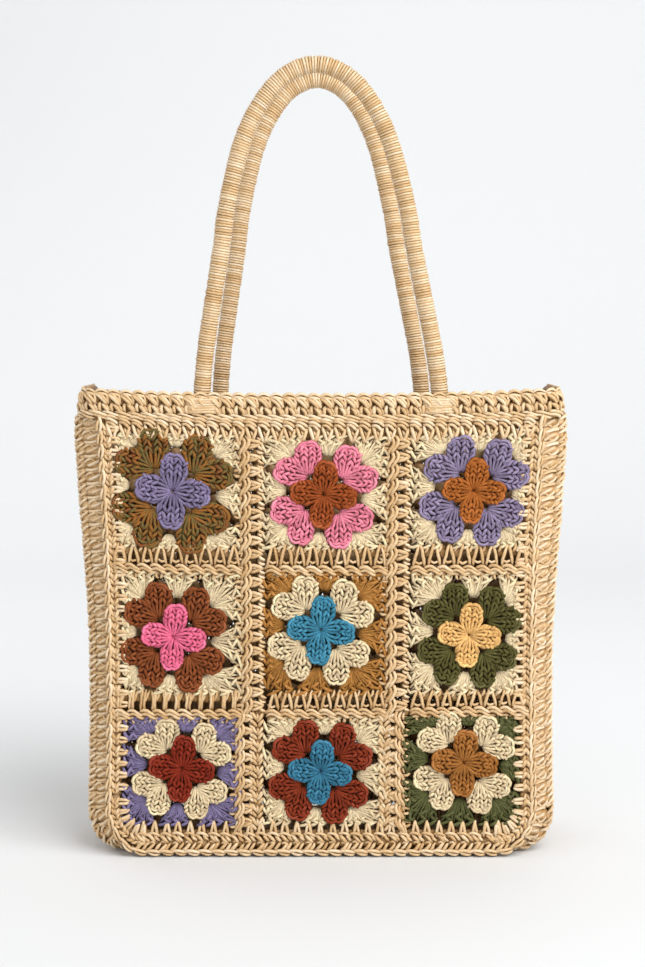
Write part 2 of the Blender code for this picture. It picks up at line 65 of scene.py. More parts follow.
def settled(x, y, z):
    """Where a point of the square-cut body lies once the soft bag stands by itself. This is as in the solids,
    but the back rim's ends hang lower, by BACK_DROP."""
    height = np.clip(z / RIM_TOP, 0, 1)
    narrowing = BASE_NARROWING * (1 - height) + WAIST_NARROWING * 4 * height * (1 - height)
    outward = np.where(y < 0, -1.0, 1.0)
    inward = np.clip(1 - (x / HALF_WIDTH) ** 2, 0, None)
    panel_height = np.clip((z - HEM_BASE) / (RIM_BASE - HEM_BASE), 0, 1)
    belly = BELLY * inward * np.sin(math.pi * panel_height)
    near_face = np.clip((abs(y) - BAG_DEPTH / 4) / (BAG_DEPTH / 5), 0, 1)
    slack = np.clip(1 - abs(x / (HALF_WIDTH + RIM_BULGE)) ** 2.5, 0, None)
    sag = np.where(y < 0, FRONT_SAG * slack, BACK_DROP + BACK_SAG * slack)
    return np.stack([
        x * (1 - narrowing / HALF_WIDTH),
        y + outward * belly * near_face,
        z - sag * height * height * near_face,
    ], -1)


def on_front(x, z, proud):
    """A place on the bag's front: across, up, and out from the inner face."""
    return settled(x, -(BAG_DEPTH / 2 - WALL) - proud, z)


def on_back(x, z, proud):
    return settled(x, BAG_DEPTH / 2 - WALL + proud, z)


def smoothed(points, steps):
    """Points read at even steps from a smooth line through the given ones."""
    points = np.array(points, float)
    padded = np.vstack([2 * points[0] - points[1], points, 2 * points[-1] - points[-2]])
    at = np.linspace(0, len(points) - 1, steps)
    index = np.minimum(at.astype(int), len(points) - 2)
    t = (at - index)[:, None]
    a, b, c, d = (padded[index + k] for k in range(4))
    return 0.5 * (2 * b + (c - a) * t + (2 * a - 5 * b + 4 * c - d) * t**2 + (3 * b - a - 3 * c + d) * t**3)


def lay(skein, stitch, count, place, yarn=0, steps=7, loose=0.03, lift=0.0, thick=1.0, vary=0.13):
    """Lay the strands of a stitch in every cell of a run. A strand has its width in mm, how flat and how
    light it is, and its line, which is across and along the cell and its height in mm. Steps is how many
    places along it are worked out at most, and a line of few points gets fewer."""
    cells = np.arange(count)[:, None]
    # Tone: the wide, flat ground strands are set dark, a painted shade down between the stitches, and the
    # strands on top lighter, towards a painted highlight; vary adds a random spread
    for width, flat, tone, line in stitch:
        stops = min(steps, 2 * len(line) - 1)
        u, v, w = smoothed(line, stops).T
        u = u + chance.normal(0, loose, (count, 1)) + chance.normal(0, loose / 3, (count, stops))
        v = v + chance.normal(0, loose / 2, (count, 1))
        w = (w + lift + chance.normal(0, HEIGHT_SCATTER_MM, (count, 1))) * MM
        at = place(cells, u, v, w)
        out = place(cells, u, v, w + MM) - at
        scatter = chance.normal(1, WIDTH_SCATTER if loose else TIGHT_WIDTH_SCATTER, count).clip(0.85, 1.15)
        radius = width / 2 * thick * MM * scatter
        skein.append((at, out, radius, flat, tone + chance.uniform(-vary, vary, count), yarn))


def unit(vectors):
    return vectors / np.maximum(np.linalg.norm(vectors, axis=-1, keepdims=True), 1e-12)


def square_to(forward, vectors):
    """What is left of each vector square to a strand's way forward, made 1 long."""
    return unit(vectors - (vectors * forward).sum(-1, keepdims=True) * forward)


def work_up(name, skein, yarns, sides=5, taper=0.62):
    """One mesh of all the strands in a skein, each a closed tube with thinner, tucked ends."""
    points, corners, starts, uvs, shades, slots = [], [], [], [], [], []
    laid = used = 0
    for at, out, radius, flat, shade, yarn in skein:
        count, steps = at.shape[:2]
        along = unit(np.gradient(at, axis=1))
        middle = steps // 2
        normal = np.zeros_like(at)
        normal[:, middle] = square_to(along[:, middle], out[:, middle])
        for i in range(middle + 1, steps):
            normal[:, i] = square_to(along[:, i], normal[:, i - 1])
        for i in range(middle - 1, -1, -1):
            normal[:, i] = square_to(along[:, i], normal[:, i + 1])
        aside = np.cross(along, normal)
        walked = np.linspace(0, 1, steps)
        swell = 1 - (1 - taper) * (1 - 4 * walked * (1 - walked)) ** 2
        angle = 2 * math.pi * np.arange(sides) / sides
        thickness = (radius[:, None] * swell)[:, :, None, None]
        ring = np.cos(angle)[:, None] * aside[:, :, None] + flat * np.sin(angle)[:, None] * normal[:, :, None]
        points.append((at[:, :, None] + thickness * ring).reshape(-1, 3))

        first = (laid + np.arange(count)[:, None, None] * steps * sides
                 + np.arange(steps - 1)[None, :, None] * sides)
        k = np.arange(sides)
        after = (k + 1) % sides
        quads = np.stack([first + k, first + sides + k, first + sides + after, first + after], -1)
        quads = quads.reshape(-1, 4)
        lengths = np.zeros((count, steps))
        lengths[:, 1:] = np.cumsum(np.linalg.norm(np.diff(at, axis=1), axis=-1), axis=1) / MM
        lengths += chance.uniform(0, GRAIN_SPREAD_MM, (count, 1))
        low = np.broadcast_to(lengths[:, :-1, None], (count, steps - 1, sides))
        high = np.broadcast_to(lengths[:, 1:, None], (count, steps - 1, sides))
        left = np.broadcast_to(k / sides, low.shape)
        right = left + 1 / sides
        quad_uvs = np.stack([np.stack([low, left], -1), np.stack([high, left], -1),
                             np.stack([high, right], -1), np.stack([low, right], -1)], -2).reshape(-1, 2)
        begin = laid + np.arange(count)[:, None] * steps * sides
        caps = np.concatenate([begin + k, begin + (steps - 1) * sides + k[::-1]]).reshape(-1, sides)
        corners += [quads.ravel(), caps.ravel()]
        starts += [used + np.arange(len(quads)) * 4, used + quads.size + np.arange(len(caps)) * sides]
        uvs += [quad_uvs, np.zeros((caps.size, 2))]
        slots.append(np.full(len(quads) + len(caps), yarn))
        shades.append(np.repeat(shade, steps * sides))
        laid += count * steps * sides
        used += quads.size + caps.size
    points, corners, starts = np.concatenate(points), np.concatenate(corners), np.concatenate(starts)
    mesh = bpy.data.meshes.new(name)
    mesh.vertices.add(len(points))
    mesh.vertices.foreach_set("co", points.astype(np.float32).ravel())
    mesh.loops.add(len(corners))
    mesh.loops.foreach_set("vertex_index", corners.astype(np.int32))
    mesh.polygons.add(len(starts))
    mesh.polygons.foreach_set("loop_start", starts.astype(np.int32))
    mesh.polygons.foreach_set("material_index", np.concatenate(slots).astype(np.int32))
    mesh.polygons.foreach_set("use_smooth", np.ones(len(starts), bool))
    mesh.uv_layers.new(name="strand").data.foreach_set("uv", np.concatenate(uvs).astype(np.float32).ravel())
    # Each strand's tone, which paints shade low in the stitches and light on top, for its yarn's colour ramp
    tint = mesh.attributes.new("shade", "FLOAT", "POINT")
    tint.data.foreach_set("value", np.concatenate(shades).astype(np.float32))
    mesh.update(calc_edges=True)
    for yarn in yarns:
        mesh.materials.append(yarn)
    piece = bpy.data.objects.new(name, mesh)
    bpy.context.scene.collection.objects.link(piece)
    return piece


def colour(sheet_hex):
    """An sRGB hex value as linear red, green, blue and alpha."""
    parts = [int(sheet_hex[k:k + 2], 16) / 255 for k in (1, 3, 5)]
    return (*(c / 12.92 if c <= 0.04045 else ((c + 0.055) / 1.055) ** 2.4 for c in parts), 1)


def add(nodes, kind, settings=(), **links):
    """Add a shader node with its settings. A link's value is a socket or a plain value."""
    node = nodes.new(kind)
    for key, value in dict(settings).items():
        setattr(node, key, value)
    for socket, value in links.items():
        entry = node.inputs[int(socket[1:]) if socket[1:].isdigit() else socket.replace("_", " ")]
        if isinstance(value, bpy.types.NodeSocket):
            nodes.id_data.links.new(value, entry)
        else:
            entry.default_value = value
    return node


def twisted_yarn(name, shades, roughness, specular, ply_mm, groove, groove_shade_amount, underside_shade):
    """Twisted yarn. Shades runs dark to light over the strands, from painted shade to painted highlight,
    ply_mm is the twist's pitch along a strand, groove is how strong the grooves between its plies are and
    fleck how dark their painted shade is, and deep is the share of its colour that is left underneath, as
    painted shade."""
    made = bpy.data.materials.new(name)
    made.use_nodes = True
    nodes = made.node_tree.nodes
    shader = nodes["Principled BSDF"]
    shader.inputs["Roughness"].default_value = roughness
    shader.inputs["Specular IOR Level"].default_value = specular
    strand = add(nodes, "ShaderNodeUVMap", {"uv_map": "strand"})
    shade = add(nodes, "ShaderNodeAttribute", {"attribute_name": "shade"})
    # Streaks of fibre, long along the strand and narrow round it
    placed = add(nodes, "ShaderNodeMapping", Vector=strand.outputs["UV"], Scale=(0.35, 5.0, 1.0))
    streak = add(nodes, "ShaderNodeTexNoise", Vector=placed.outputs["Vector"], Scale=1.0, Detail=3.0)
    mixed = add(nodes, "ShaderNodeMath", {"operation": "MULTIPLY_ADD"},
                _0=streak.outputs["Fac"], _1=0.6, _2=-0.30)
    tone = add(nodes, "ShaderNodeMath", {"operation": "ADD", "use_clamp": True},
               _0=shade.outputs["Fac"], _1=mixed.outputs[0])
    ramp = add(nodes, "ShaderNodeValToRGB", Fac=tone.outputs[0])
    steps = ramp.color_ramp.elements
    steps[0].position, steps[0].color = 0.0, shades[0]
    steps[1].position, steps[1].color = 1.0, shades[-1]
    for index, middle in enumerate(shades[1:-1], 1):
        step = steps.new(index / (len(shades) - 1))
        step.color = middle
    # Plies: grooves that wind round the strand
    wound = add(nodes, "ShaderNodeMapping", Vector=strand.outputs["UV"], Scale=(1 / ply_mm, 2.0, 1.0))
    turned = add(nodes, "ShaderNodeSeparateXYZ", Vector=wound.outputs["Vector"])
    phase = add(nodes, "ShaderNodeMath", {"operation": "ADD"}, _0=turned.outputs["X"], _1=turned.outputs["Y"])
    ridge = add(nodes, "ShaderNodeMath", {"operation": "PINGPONG"}, _0=phase.outputs[0], _1=0.5)
    height = add(nodes, "ShaderNodeMath", {"operation": "MULTIPLY_ADD"},
                 _0=streak.outputs["Fac"], _1=0.5, _2=ridge.outputs[0])
    bump = add(nodes, "ShaderNodeBump", Height=height.outputs[0], Strength=groove, Distance=0.0004)
    nodes.id_data.links.new(bump.outputs["Normal"], shader.inputs["Normal"])
    # Painted shade in the grooves between the plies
    groove_shade = add(nodes, "ShaderNodeMapRange", Value=ridge.outputs[0], From_Min=0.0, From_Max=0.22,
                       To_Min=1 - groove_shade_amount, To_Max=1.0)
    # Painted shade: a strand is painted darker down its flanks, where it lies against the next, and darkest
    # underneath
    plain = add(nodes, "ShaderNodeSeparateXYZ", Vector=strand.outputs["UV"])
    round_it = add(nodes, "ShaderNodeMath", {"operation": "SUBTRACT"}, _0=plain.outputs["Y"], _1=0.25)
    down = add(nodes, "ShaderNodeMath", {"operation": "PINGPONG"}, _0=round_it.outputs[0], _1=0.5)
    flank_shade = add(nodes, "ShaderNodeMapRange", Value=down.outputs[0], From_Min=0.08, From_Max=0.32,
                To_Min=1.0, To_Max=underside_shade)
    both = add(nodes, "ShaderNodeMath", {"operation": "MULTIPLY"},
               _0=groove_shade.outputs[0], _1=flank_shade.outputs[0])
    # The painted shade between strands is warm, so red falls off slowest and blue fastest
    red, green, blue = [add(nodes, "ShaderNodeMath", {"operation": "POWER"}, _0=both.outputs[0], _1=power)
                        for power in (0.85, 1.05, 1.35)]
    warm_shade = add(nodes, "ShaderNodeCombineXYZ", X=red.outputs[0], Y=green.outputs[0], Z=blue.outputs[0])
    tinted = add(nodes, "ShaderNodeVectorMath", {"operation": "MULTIPLY"}, _0=ramp.outputs["Color"],
                 _1=warm_shade.outputs[0])
    nodes.id_data.links.new(tinted.outputs[0], shader.inputs["Base Color"])
    return made


def dyed(sheet_hex):
    """One dye as four colours: a painted shade for low in the stitches, a darker tone, the strands' own
    colour, and a painted highlight where light catches them.
    """
    own = np.array(colour(sheet_hex)[:3])
    # The lightest colour is a painted highlight
    painted_highlight = np.minimum(1.32 * own + 0.03, 0.95)
    return [(*shade, 1) for shade in (0.10 * own, 0.42 * own, 0.93 * own, painted_highlight)]


def cotton(name, shades):
    """Cotton yarn: dull and soft to the eye, with hardly a glint, and two plies that turn once in 4 mm."""
    return twisted_yarn(f"{name} cotton yarn", shades, roughness=0.82, specular=0.22, ply_mm=4.0, groove=0.6,
                        groove_shade_amount=0.22, underside_shade=0.32)


def petal_stitch():
    """Three tall stitches from one hole: their legs, the V-shaped loops knit into them, and the chain over
    the tip."""
    legs = (-0.64, 0.0, 0.64)
    # Under each stitch a wide, flat strand of low tone: a painted shade between the stitches
    strands = [(8.0, 0.28, 0.14, [(k * 0.9, 0.03, 1.0), (k, 0.5, 2.2), (k * 1.04, 0.88, 1.8)]) for k in legs]
    for k in legs:
        for s in (-0.17, 0.17):
            strands.append((2.6, 0.9, 0.60, [(k + s, 0.02, 1.4), (k + s, 0.15, 3.4), (k + s, 0.38, 4.0),
                                             (k + s * 0.6, 0.58, 2.8)]))
        for v, tone in ((0.40, 0.62), (0.57, 0.68), (0.72, 0.64)):
            left = [(k - 0.31, v + 0.20, 3.0), (k - 0.20, v + 0.11, 4.5), (k - 0.03, v, 3.6)]
            right = [(k + 0.31, v + 0.18, 3.0), (k + 0.20, v + 0.09, 4.4), (k + 0.04, v - 0.02, 3.5)]
            strands += [(2.9, 0.9, tone, left), (2.9, 0.9, tone, right)]
    strands += [
        (2.9, 0.9, 0.76, [(-0.90, 0.76, 2.6), (-0.58, 0.95, 4.6), (-0.14, 0.99, 5.0), (0.20, 0.90, 3.2)]),
        (2.9, 0.9, 0.70, [(-0.10, 0.95, 3.4), (0.32, 1.00, 4.8), (0.70, 0.93, 4.4), (0.92, 0.72, 2.6)]),
        (2.7, 0.9, 0.64, [(-0.70, 0.84, 3.0), (-0.20, 0.90, 4.7), (0.16, 0.84, 3.2)]),
        (2.7, 0.9, 0.62, [(0.06, 0.86, 3.2), (0.44, 0.90, 4.6), (0.78, 0.78, 3.0)]),
    ]
    for side in (-1, 1):
        edge = [(0.80 * side, 0.28, 2.4), (0.95 * side, 0.50, 3.8), (0.90 * side, 0.72, 2.6)]
        strands.append((2.6, 0.9, 0.56, edge))
    return strands


FLOWER_TURN = math.radians(-6)
TIP_ROUNDING = 0.15


def petals(centre, roots, root_width, full_at):
    """Where a petal's stitches go: roots has each petal's root, heading, length and tip width, in mm. The
    petal has its full width from full_at of its length."""
    x, z, heading, length, width = (np.array(column)[:, None] for column in zip(*roots))

    def place(cell, u, v, w):
        i = cell[:, 0]
        spread = root_width + (1 - root_width) * np.sin(np.clip(v / full_at, 0, 1) * math.pi / 2)
        along = length[i] * v * (1 - TIP_ROUNDING * abs(u) ** 3 * v) * MM
        across = width[i] / 2 * u * spread * MM
        way = np.radians(heading[i])
        px = x[i] * MM + along * np.cos(way) - across * np.sin(way)
        pz = z[i] * MM + along * np.sin(way) + across * np.cos(way)
        c, s = math.cos(FLOWER_TURN), math.sin(FLOWER_TURN)
        return on_front(centre[0] + px * c - pz * s, centre[1] + px * s + pz * c, w)

    return len(roots), place


def fan_stitch(fingers, half):
    """Tall stitches from one hole, three legs and three wraps each, that end apart under the straw's spikes.
    Fingers says where each lies across the fan, and half is how wide it reaches to each side."""
    strands = []
    for k in fingers:
        # A wide, flat strand of low tone under each stitch: a painted shade between the stitches
        strands.append((8.6, 0.22, 0.16, [(k * 0.85, 0.06, 0.9), (k, 0.5, 1.3), (k, 1.0, 1.0)]))
        for s in (-0.66, 0.0, 0.66):
            strands.append((2.3, 0.85, 0.62, [(k * 0.9 + s * half, 0.0, 1.4), (k + s * half, 0.28, 3.4),
                                              (k + s * half, 0.60, 3.2), (k + s * half, 0.86, 2.0)]))
        for v, side in ((0.48, 1), (0.62, -1), (0.78, 1)):
            strands.append((2.8, 0.85, 0.68, [
                (k - side * half * 0.95, v + 0.20, 2.2), (k - side * half * 0.2, v + 0.12, 4.4),
                (k + side * half * 0.9, v - 0.02, 2.6)]))
    return strands


def fans(centre, roots, reach):
    """Where a fan's stitches go: roots has each fan's root, heading and half angle in mm and degrees, and
    half its root's width. Reach is how far the square runs left, right, down and up from its middle."""
    x, z, heading, half_angle, root_half = (np.array(column)[:, None] for column in zip(*roots))
    c, s = math.cos(FLOWER_TURN), math.sin(FLOWER_TURN)
    x, z, heading = x * c - z * s, x * s + z * c, heading + math.degrees(FLOWER_TURN)
    left, right, down, up = reach

    def place(cell, u, v, w):
        i = cell[:, 0]
        way = np.radians(heading[i] + u * half_angle[i])
        way_x, way_z = np.cos(way), np.sin(way)
        from_x = x[i] - root_half[i] * u * np.sin(np.radians(heading[i]))
        from_z = z[i] + root_half[i] * u * np.cos(np.radians(heading[i]))
        room_x = np.where(way_x > 0, right - from_x, left + from_x) / np.maximum(abs(way_x), 0.05)
        room_z = np.where(way_z > 0, up - from_z, down + from_z) / np.maximum(abs(way_z), 0.05)
        far = np.minimum(room_x, room_z) * v
        return on_front(centre[0] + (from_x + far * way_x) * MM, centre[1] + (from_z + far * way_z) * MM, w)

    return len(roots), place


def spoke(length, degrees):
    """Where a spoke from a flower's middle ends."""
    return length * math.cos(math.radians(degrees)), length * math.sin(math.radians(degrees))


# From where to where the three columns of squares run, from the left, and the three rows, from below
COLUMNS = ((-0.1693, -0.0648), (-0.0440, 0.0536), (0.0744, 0.1693))
ROWS = ((0.0263, 0.1128), (0.1330, 0.2300), (0.2502, 0.3390))
CREAM = dyed("#EBD5AE")
# The variegated yarn's browns and greens; the first and darkest is a painted shade for low in the stitches
VARIEGATED = [colour(shade) for shade in ("#3C220D", "#6A3C18", "#5F6136", "#7E5C2C",
                                          "#9A6028", "#5F6136", "#8C4822", "#6E6A38")]
# Each square: its flower's middle in mm from the bag's middle and the floor, how far its first two rounds
# reach in mm, and the dyes of its three rounds
SQUARES = {
    "square_r1c1": ((-118.8, 295.3), 29.6, 46.8, dyed("#85799C"), VARIEGATED, CREAM),
    "square_r1c2": ((2.26, 293.4), 26.0, 40.8, dyed("#9D4B1B"), dyed("#EE889F"), CREAM),
    "square_r1c3": ((122.5, 295.5), 24.8, 41.8, dyed("#AC6224"), dyed("#9184A3"), CREAM),
    "square_r2c1": ((-120.6, 179.0), 25.8, 41.7, dyed("#F07195"), dyed("#8C4A22"), CREAM),
    "square_r2c2": ((0.1, 185.4), 26.7, 41.5, dyed("#4089A6"), CREAM, dyed("#AF7938")),
    "square_r2c3": ((121.7, 180.4), 25.0, 40.3, dyed("#EDBB75"), dyed("#585427"), CREAM),
    "square_r3c1": ((-114.4, 72.5), 26.2, 38.8, dyed("#88280D"), CREAM, dyed("#80759B")),
    "square_r3c2": ((-0.4, 70.3), 25.4, 40.5, dyed("#397C9B"), dyed("#893213"), CREAM),
    "square_r3c3": ((117.6, 77.3), 26.5, 39.5, dyed("#A86D30"), CREAM, dyed("#5A5C33")),
}
QUARTERS = (0, 90, 180, 270)
CORNERS = ((1, 1, 0), (-1, 1, 90), (-1, -1, 180), (1, -1, 270))
PETAL = petal_stitch()
CORNER_FAN = fan_stitch((-0.85, -0.51, -0.17, 0.17, 0.51, 0.85), 0.17)
SIDE_FAN = fan_stitch((-0.66, 0.0, 0.66), 0.36)
HEART = 0.53
CORNER_ROOT = 0.67
SIDE_ROOT = 0.75
BOTTOM_UNDER_MM = 1
TOP_UNDER_MM = 2
for square_name, (flower_mm, first, second, *dyes) in SQUARES.items():
    yarns = [cotton(f"{square_name[7:]} round {index + 1}", shades) for index, shades in enumerate(dyes)]
    flower_x, flower_z = flower_mm
    centre = (flower_x * MM, flower_z * MM)
    column, row = int(square_name[-1]) - 1, 3 - int(square_name[-3])
    left_mm, right_mm = (1000 * edge for edge in COLUMNS[column])
    bottom_mm, top_mm = (1000 * edge for edge in ROWS[row])
    # How far in mm the fans reach on under the straw at the sides, or stop short of it
    left_under = 8 if square_name == "square_r3c3" else (-6, 4, 4)[column]
    right_under = (1, 1, -6)[column]
    reach = (flower_x - left_mm + left_under, right_mm - flower_x + right_under,
             flower_z - bottom_mm + BOTTOM_UNDER_MM, top_mm - flower_z + TOP_UNDER_MM)
    heart = HEART * first
    length = second - heart
    first_round = [(*spoke(0.6, away), away, first - 0.5, 0.74 * first) for away in QUARTERS]
    second_round = [(heart * sx, heart * sz, away + lean, length, 0.80 * length)
                    for sx, sz, away in CORNERS for lean in (6, 84)]
    corner_fans = [(CORNER_ROOT * second * sx, CORNER_ROOT * second * sz, away + 45, 66, 2.0)
                   for sx, sz, away in CORNERS]
    side_fans = [(*spoke(SIDE_ROOT * second, away), away, 34, 2.6) for away in QUARTERS]
    square_yarns = []
    lay(square_yarns, CORNER_FAN, *fans(centre, corner_fans, reach), yarn=2, steps=6, loose=0.012)
    lay(square_yarns, SIDE_FAN, *fans(centre, side_fans, reach), yarn=2, steps=6, loose=0.02)
    lay(square_yarns, PETAL, *petals(centre, second_round, 0.22, 0.66), yarn=1, steps=6, loose=0.026,
        lift=0.4, thick=0.95, vary=0.17 if dyes[1] is VARIEGATED else 0.13)
    lay(square_yarns, PETAL, *petals(centre, first_round, 0.15, 0.48), yarn=0, steps=6, loose=0.024, lift=1.1)
    piece = work_up(f"{square_name}_crochet", square_yarns, yarns)
    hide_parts(square_name)
    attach(piece, "root")

# The joins between the squares. Each is worked in paper straw, a narrow satin strip folded into a strand: a
# plaited ridge of loops, and posts beside it that reach into the next squares and leave dark holes between
# them.

# Folded paper straw is pale gold and glints softly on its crests; its colours run from a painted brown shade
# for down in the stitches to a painted highlight
STRAW = [colour(shade) for shade in ("#6A4418", "#BB8E53", "#DFBE90", "#F7E6CB")]
straw = twisted_yarn("folded paper straw", STRAW, roughness=0.50, specular=0.5, ply_mm=9.0, groove=0.5,
                     groove_shade_amount=0.08, underside_shade=0.44)
# In the straw stitches from here on, the wide, flat strands of low tone lie under the rest: a painted shade in
# the holes and between the stitches
RIDGE = [
    (5.6, 0.5, 0.2, [(-0.6, 0.5, 2.4), (0.0, 0.5, 2.8), (0.6, 0.5, 2.4)]),
    (3.0, 0.85, 0.62, [(-0.64, 0.60, 3.2), (-0.38, 0.90, 5.0), (0.0, 0.88, 5.8), (0.36, 0.56, 5.6),
                       (0.68, 0.36, 4.0)]),
    (3.0, 0.85, 0.58, [(-0.56, 0.26, 3.0), (-0.24, 0.58, 4.8), (0.12, 0.50, 5.4), (0.46, 0.18, 5.2),
                       (0.80, 0.10, 3.4)]),
    (2.4, 0.85, 0.60, [(-0.46, 0.0, 2.2), (-0.12, 0.16, 3.6), (0.20, 0.0, 2.2)]),
]
POSTS = [
    (2.6, 0.85, 0.57, [(-0.34, -0.06, 2.6), (-0.27, 0.26, 4.2), (-0.22, 0.62, 4.2), (-0.40, 1.0, 2.6)]),
    (2.6, 0.85, 0.54, [(-0.04, -0.06, 2.6), (-0.06, 0.26, 4.2), (0.02, 0.62, 4.3), (0.14, 1.04, 2.8)]),
    (2.5, 0.85, 0.58, [(0.00, 0.40, 3.0), (0.20, 0.66, 4.1), (0.44, 1.02, 2.6)]),
    (2.4, 0.85, 0.62, [(-0.26, 0.50, 3.0), (-0.14, 0.76, 4.4), (-0.10, 1.04, 2.6)]),
    (7.4, 0.25, 0.32, [(0.42, 1.0, 0.8), (0.42, 0.68, 1.2), (0.42, 0.40, 1.0)]),
    (4.4, 0.4, 0.26, [(-0.18, 1.0, 0.4), (-0.18, 0.45, 0.7), (-0.18, 0.0, 0.5)]),
]
PEAKS = [
    (2.7, 0.85, 0.60, [(-0.42, -0.06, 2.6), (-0.34, 0.30, 4.3), (-0.18, 0.72, 4.4), (-0.03, 1.06, 3.0)]),
    (2.7, 0.85, 0.56, [(0.36, -0.06, 2.6), (0.30, 0.30, 4.2), (0.18, 0.70, 4.3), (0.04, 1.02, 3.0)]),
    (2.4, 0.85, 0.62, [(-0.36, 0.30, 3.0), (-0.06, 0.16, 4.2), (0.26, 0.26, 3.0)]),
    (2.5, 0.85, 0.58, [(0.30, 0.62, 2.8), (0.46, 0.80, 3.8), (0.56, 1.04, 2.4)]),
    (6.6, 0.25, 0.34, [(0.5, 1.0, 0.8), (0.5, 0.74, 1.2), (0.5, 0.40, 1.0)]),
    (4.2, 0.4, 0.26, [(0.0, 1.0, 0.4), (0.0, 0.80, 0.7), (0.0, 0.62, 0.5)]),
]
RUNGS = [
    (3.2, 0.85, 0.67, [(-0.34, -0.10, 3.2), (-0.30, 0.35, 4.9), (-0.20, 0.80, 4.8), (-0.02, 1.04, 3.6)]),
    (3.0, 0.85, 0.66, [(-0.06, -0.10, 2.8), (-0.05, 0.34, 4.2), (-0.08, 0.70, 3.6)]),
    (3.1, 0.85, 0.62, [(0.24, -0.10, 3.0), (0.16, 0.30, 4.7), (0.02, 0.72, 4.8), (-0.12, 1.00, 3.8)]),
    (2.6, 0.85, 0.72, [(-0.02, 0.66, 3.4), (0.22, 0.90, 4.4), (0.34, 1.24, 3.0)]),
    (2.6, 0.85, 0.70, [(-0.54, 0.68, 3.0), (-0.40, 0.88, 4.2), (-0.36, 1.22, 2.8)]),
    (6.4, 0.35, 0.50, [(0.48, 1.20, 0.8), (0.48, 0.90, 1.4), (0.48, 0.62, 1.0)]),
    (5.4, 0.4, 0.36, [(-0.05, 0.90, 0.6), (-0.03, 0.45, 1.0), (-0.05, 0.0, 0.7)]),
]
KNIT = [
    (10.0, 0.15, 0.36, [(-0.55, 0.5, 1.6), (0.0, 0.5, 1.8), (0.55, 0.5, 1.6)]),
    (3.2, 0.85, 0.60, [(-0.46, 0.02, 2.8), (-0.18, 0.20, 4.7), (0.20, 0.50, 3.4)]),
    (3.2, 0.85, 0.63, [(-0.40, 1.00, 2.8), (-0.10, 0.80, 4.7), (0.26, 0.52, 3.4)]),
    (2.9, 0.85, 0.58, [(0.04, -0.02, 2.8), (0.30, 0.22, 4.4), (0.56, 0.48, 3.0)]),
    (2.9, 0.85, 0.61, [(0.10, 1.02, 2.8), (0.34, 0.78, 4.4), (0.60, 0.60, 3.0)]),
    (2.6, 0.85, 0.60, [(-0.30, 0.46, 2.8), (-0.04, 0.56, 4.2), (0.16, 0.40, 2.8)]),
]


def course(start, end, across, pitch, surface):
    """A run of cells from start to end on a surface. Across is the run's full width, as a step across and
    up."""
    start, end, across = (np.array(value, float) for value in (start, end, across))
    count = max(1, round(float(np.linalg.norm(end - start)) / pitch))
    step = (end - start) / count

    def place(cell, u, v, w):
        x = start[0] + step[0] * (cell + 0.5 + u) + across[0] * v
        z = start[1] + step[1] * (cell + 0.5 + u) + across[1] * v
        return surface(x, z, w)

    return count, place


UNDERSIDE = [
    (2.6, 0.8, 0.60, [(-0.14, 0.0, 2.8), (-0.10, 0.6, 3.6), (0.0, 1.0, 2.0)]),
    (2.6, 0.8, 0.60, [(0.34, 0.0, 2.8), (0.30, 0.6, 3.6), (0.20, 1.0, 2.0)]),
]
RIDGE_PITCH = 0.0108
SLOPE_START = 0.17
ROW_OVERLAP = 0.0008
POSTS_SHORT = 0.0048
join_strands = []
# Each row join: the row of squares under it, and how steeply it climbs from the bag's left edge
for row, slope in ((1, -0.003), (0, 0.009)):
    for left, right in COLUMNS:
        low, high = ROWS[row][1] - ROW_OVERLAP + slope * (left + SLOPE_START), ROWS[row + 1][0]
        rise = slope * (right - left)
        # Only the lowest join's left part has posts in pairs, the others have them meet in peaks
        posts, pitch = (POSTS, 0.0098) if row == 0 and left == COLUMNS[0][0] else (PEAKS, 0.0112)
        # Each line of stitches: how far over the join's foot it starts, how high it is and how it is worked
        for stitch, over, height, stitch_pitch, steps, loose in (
            (RIDGE, 0.0, 0.0084, RIDGE_PITCH, 7, 0.03),
            (posts, 0.0074, high - low - POSTS_SHORT, pitch, 8, 0.04),
            (UNDERSIDE, 0.001, -0.0046, RIDGE_PITCH, 7, 0.03),
        ):
            run = course((left, low + over), (right, low + over + rise), (0, height), stitch_pitch, on_front)
            lay(join_strands, stitch, *run, steps=steps, loose=loose)
row_joins = work_up("row_joins_crochet", join_strands, [straw])
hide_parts(*(f"row_join_{r}_{c}" for r in (1, 2) for c in (1, 2, 3)))
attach(row_joins, "root")

KNIT_PITCH = 0.0104
RUNGS_OVERLAP = 0.0010
KNIT_OVERLAP = 0.0006
UNDERSIDE_INSET = 0.0022
UNDERSIDE_WIDTH = 0.0070
join_strands = []
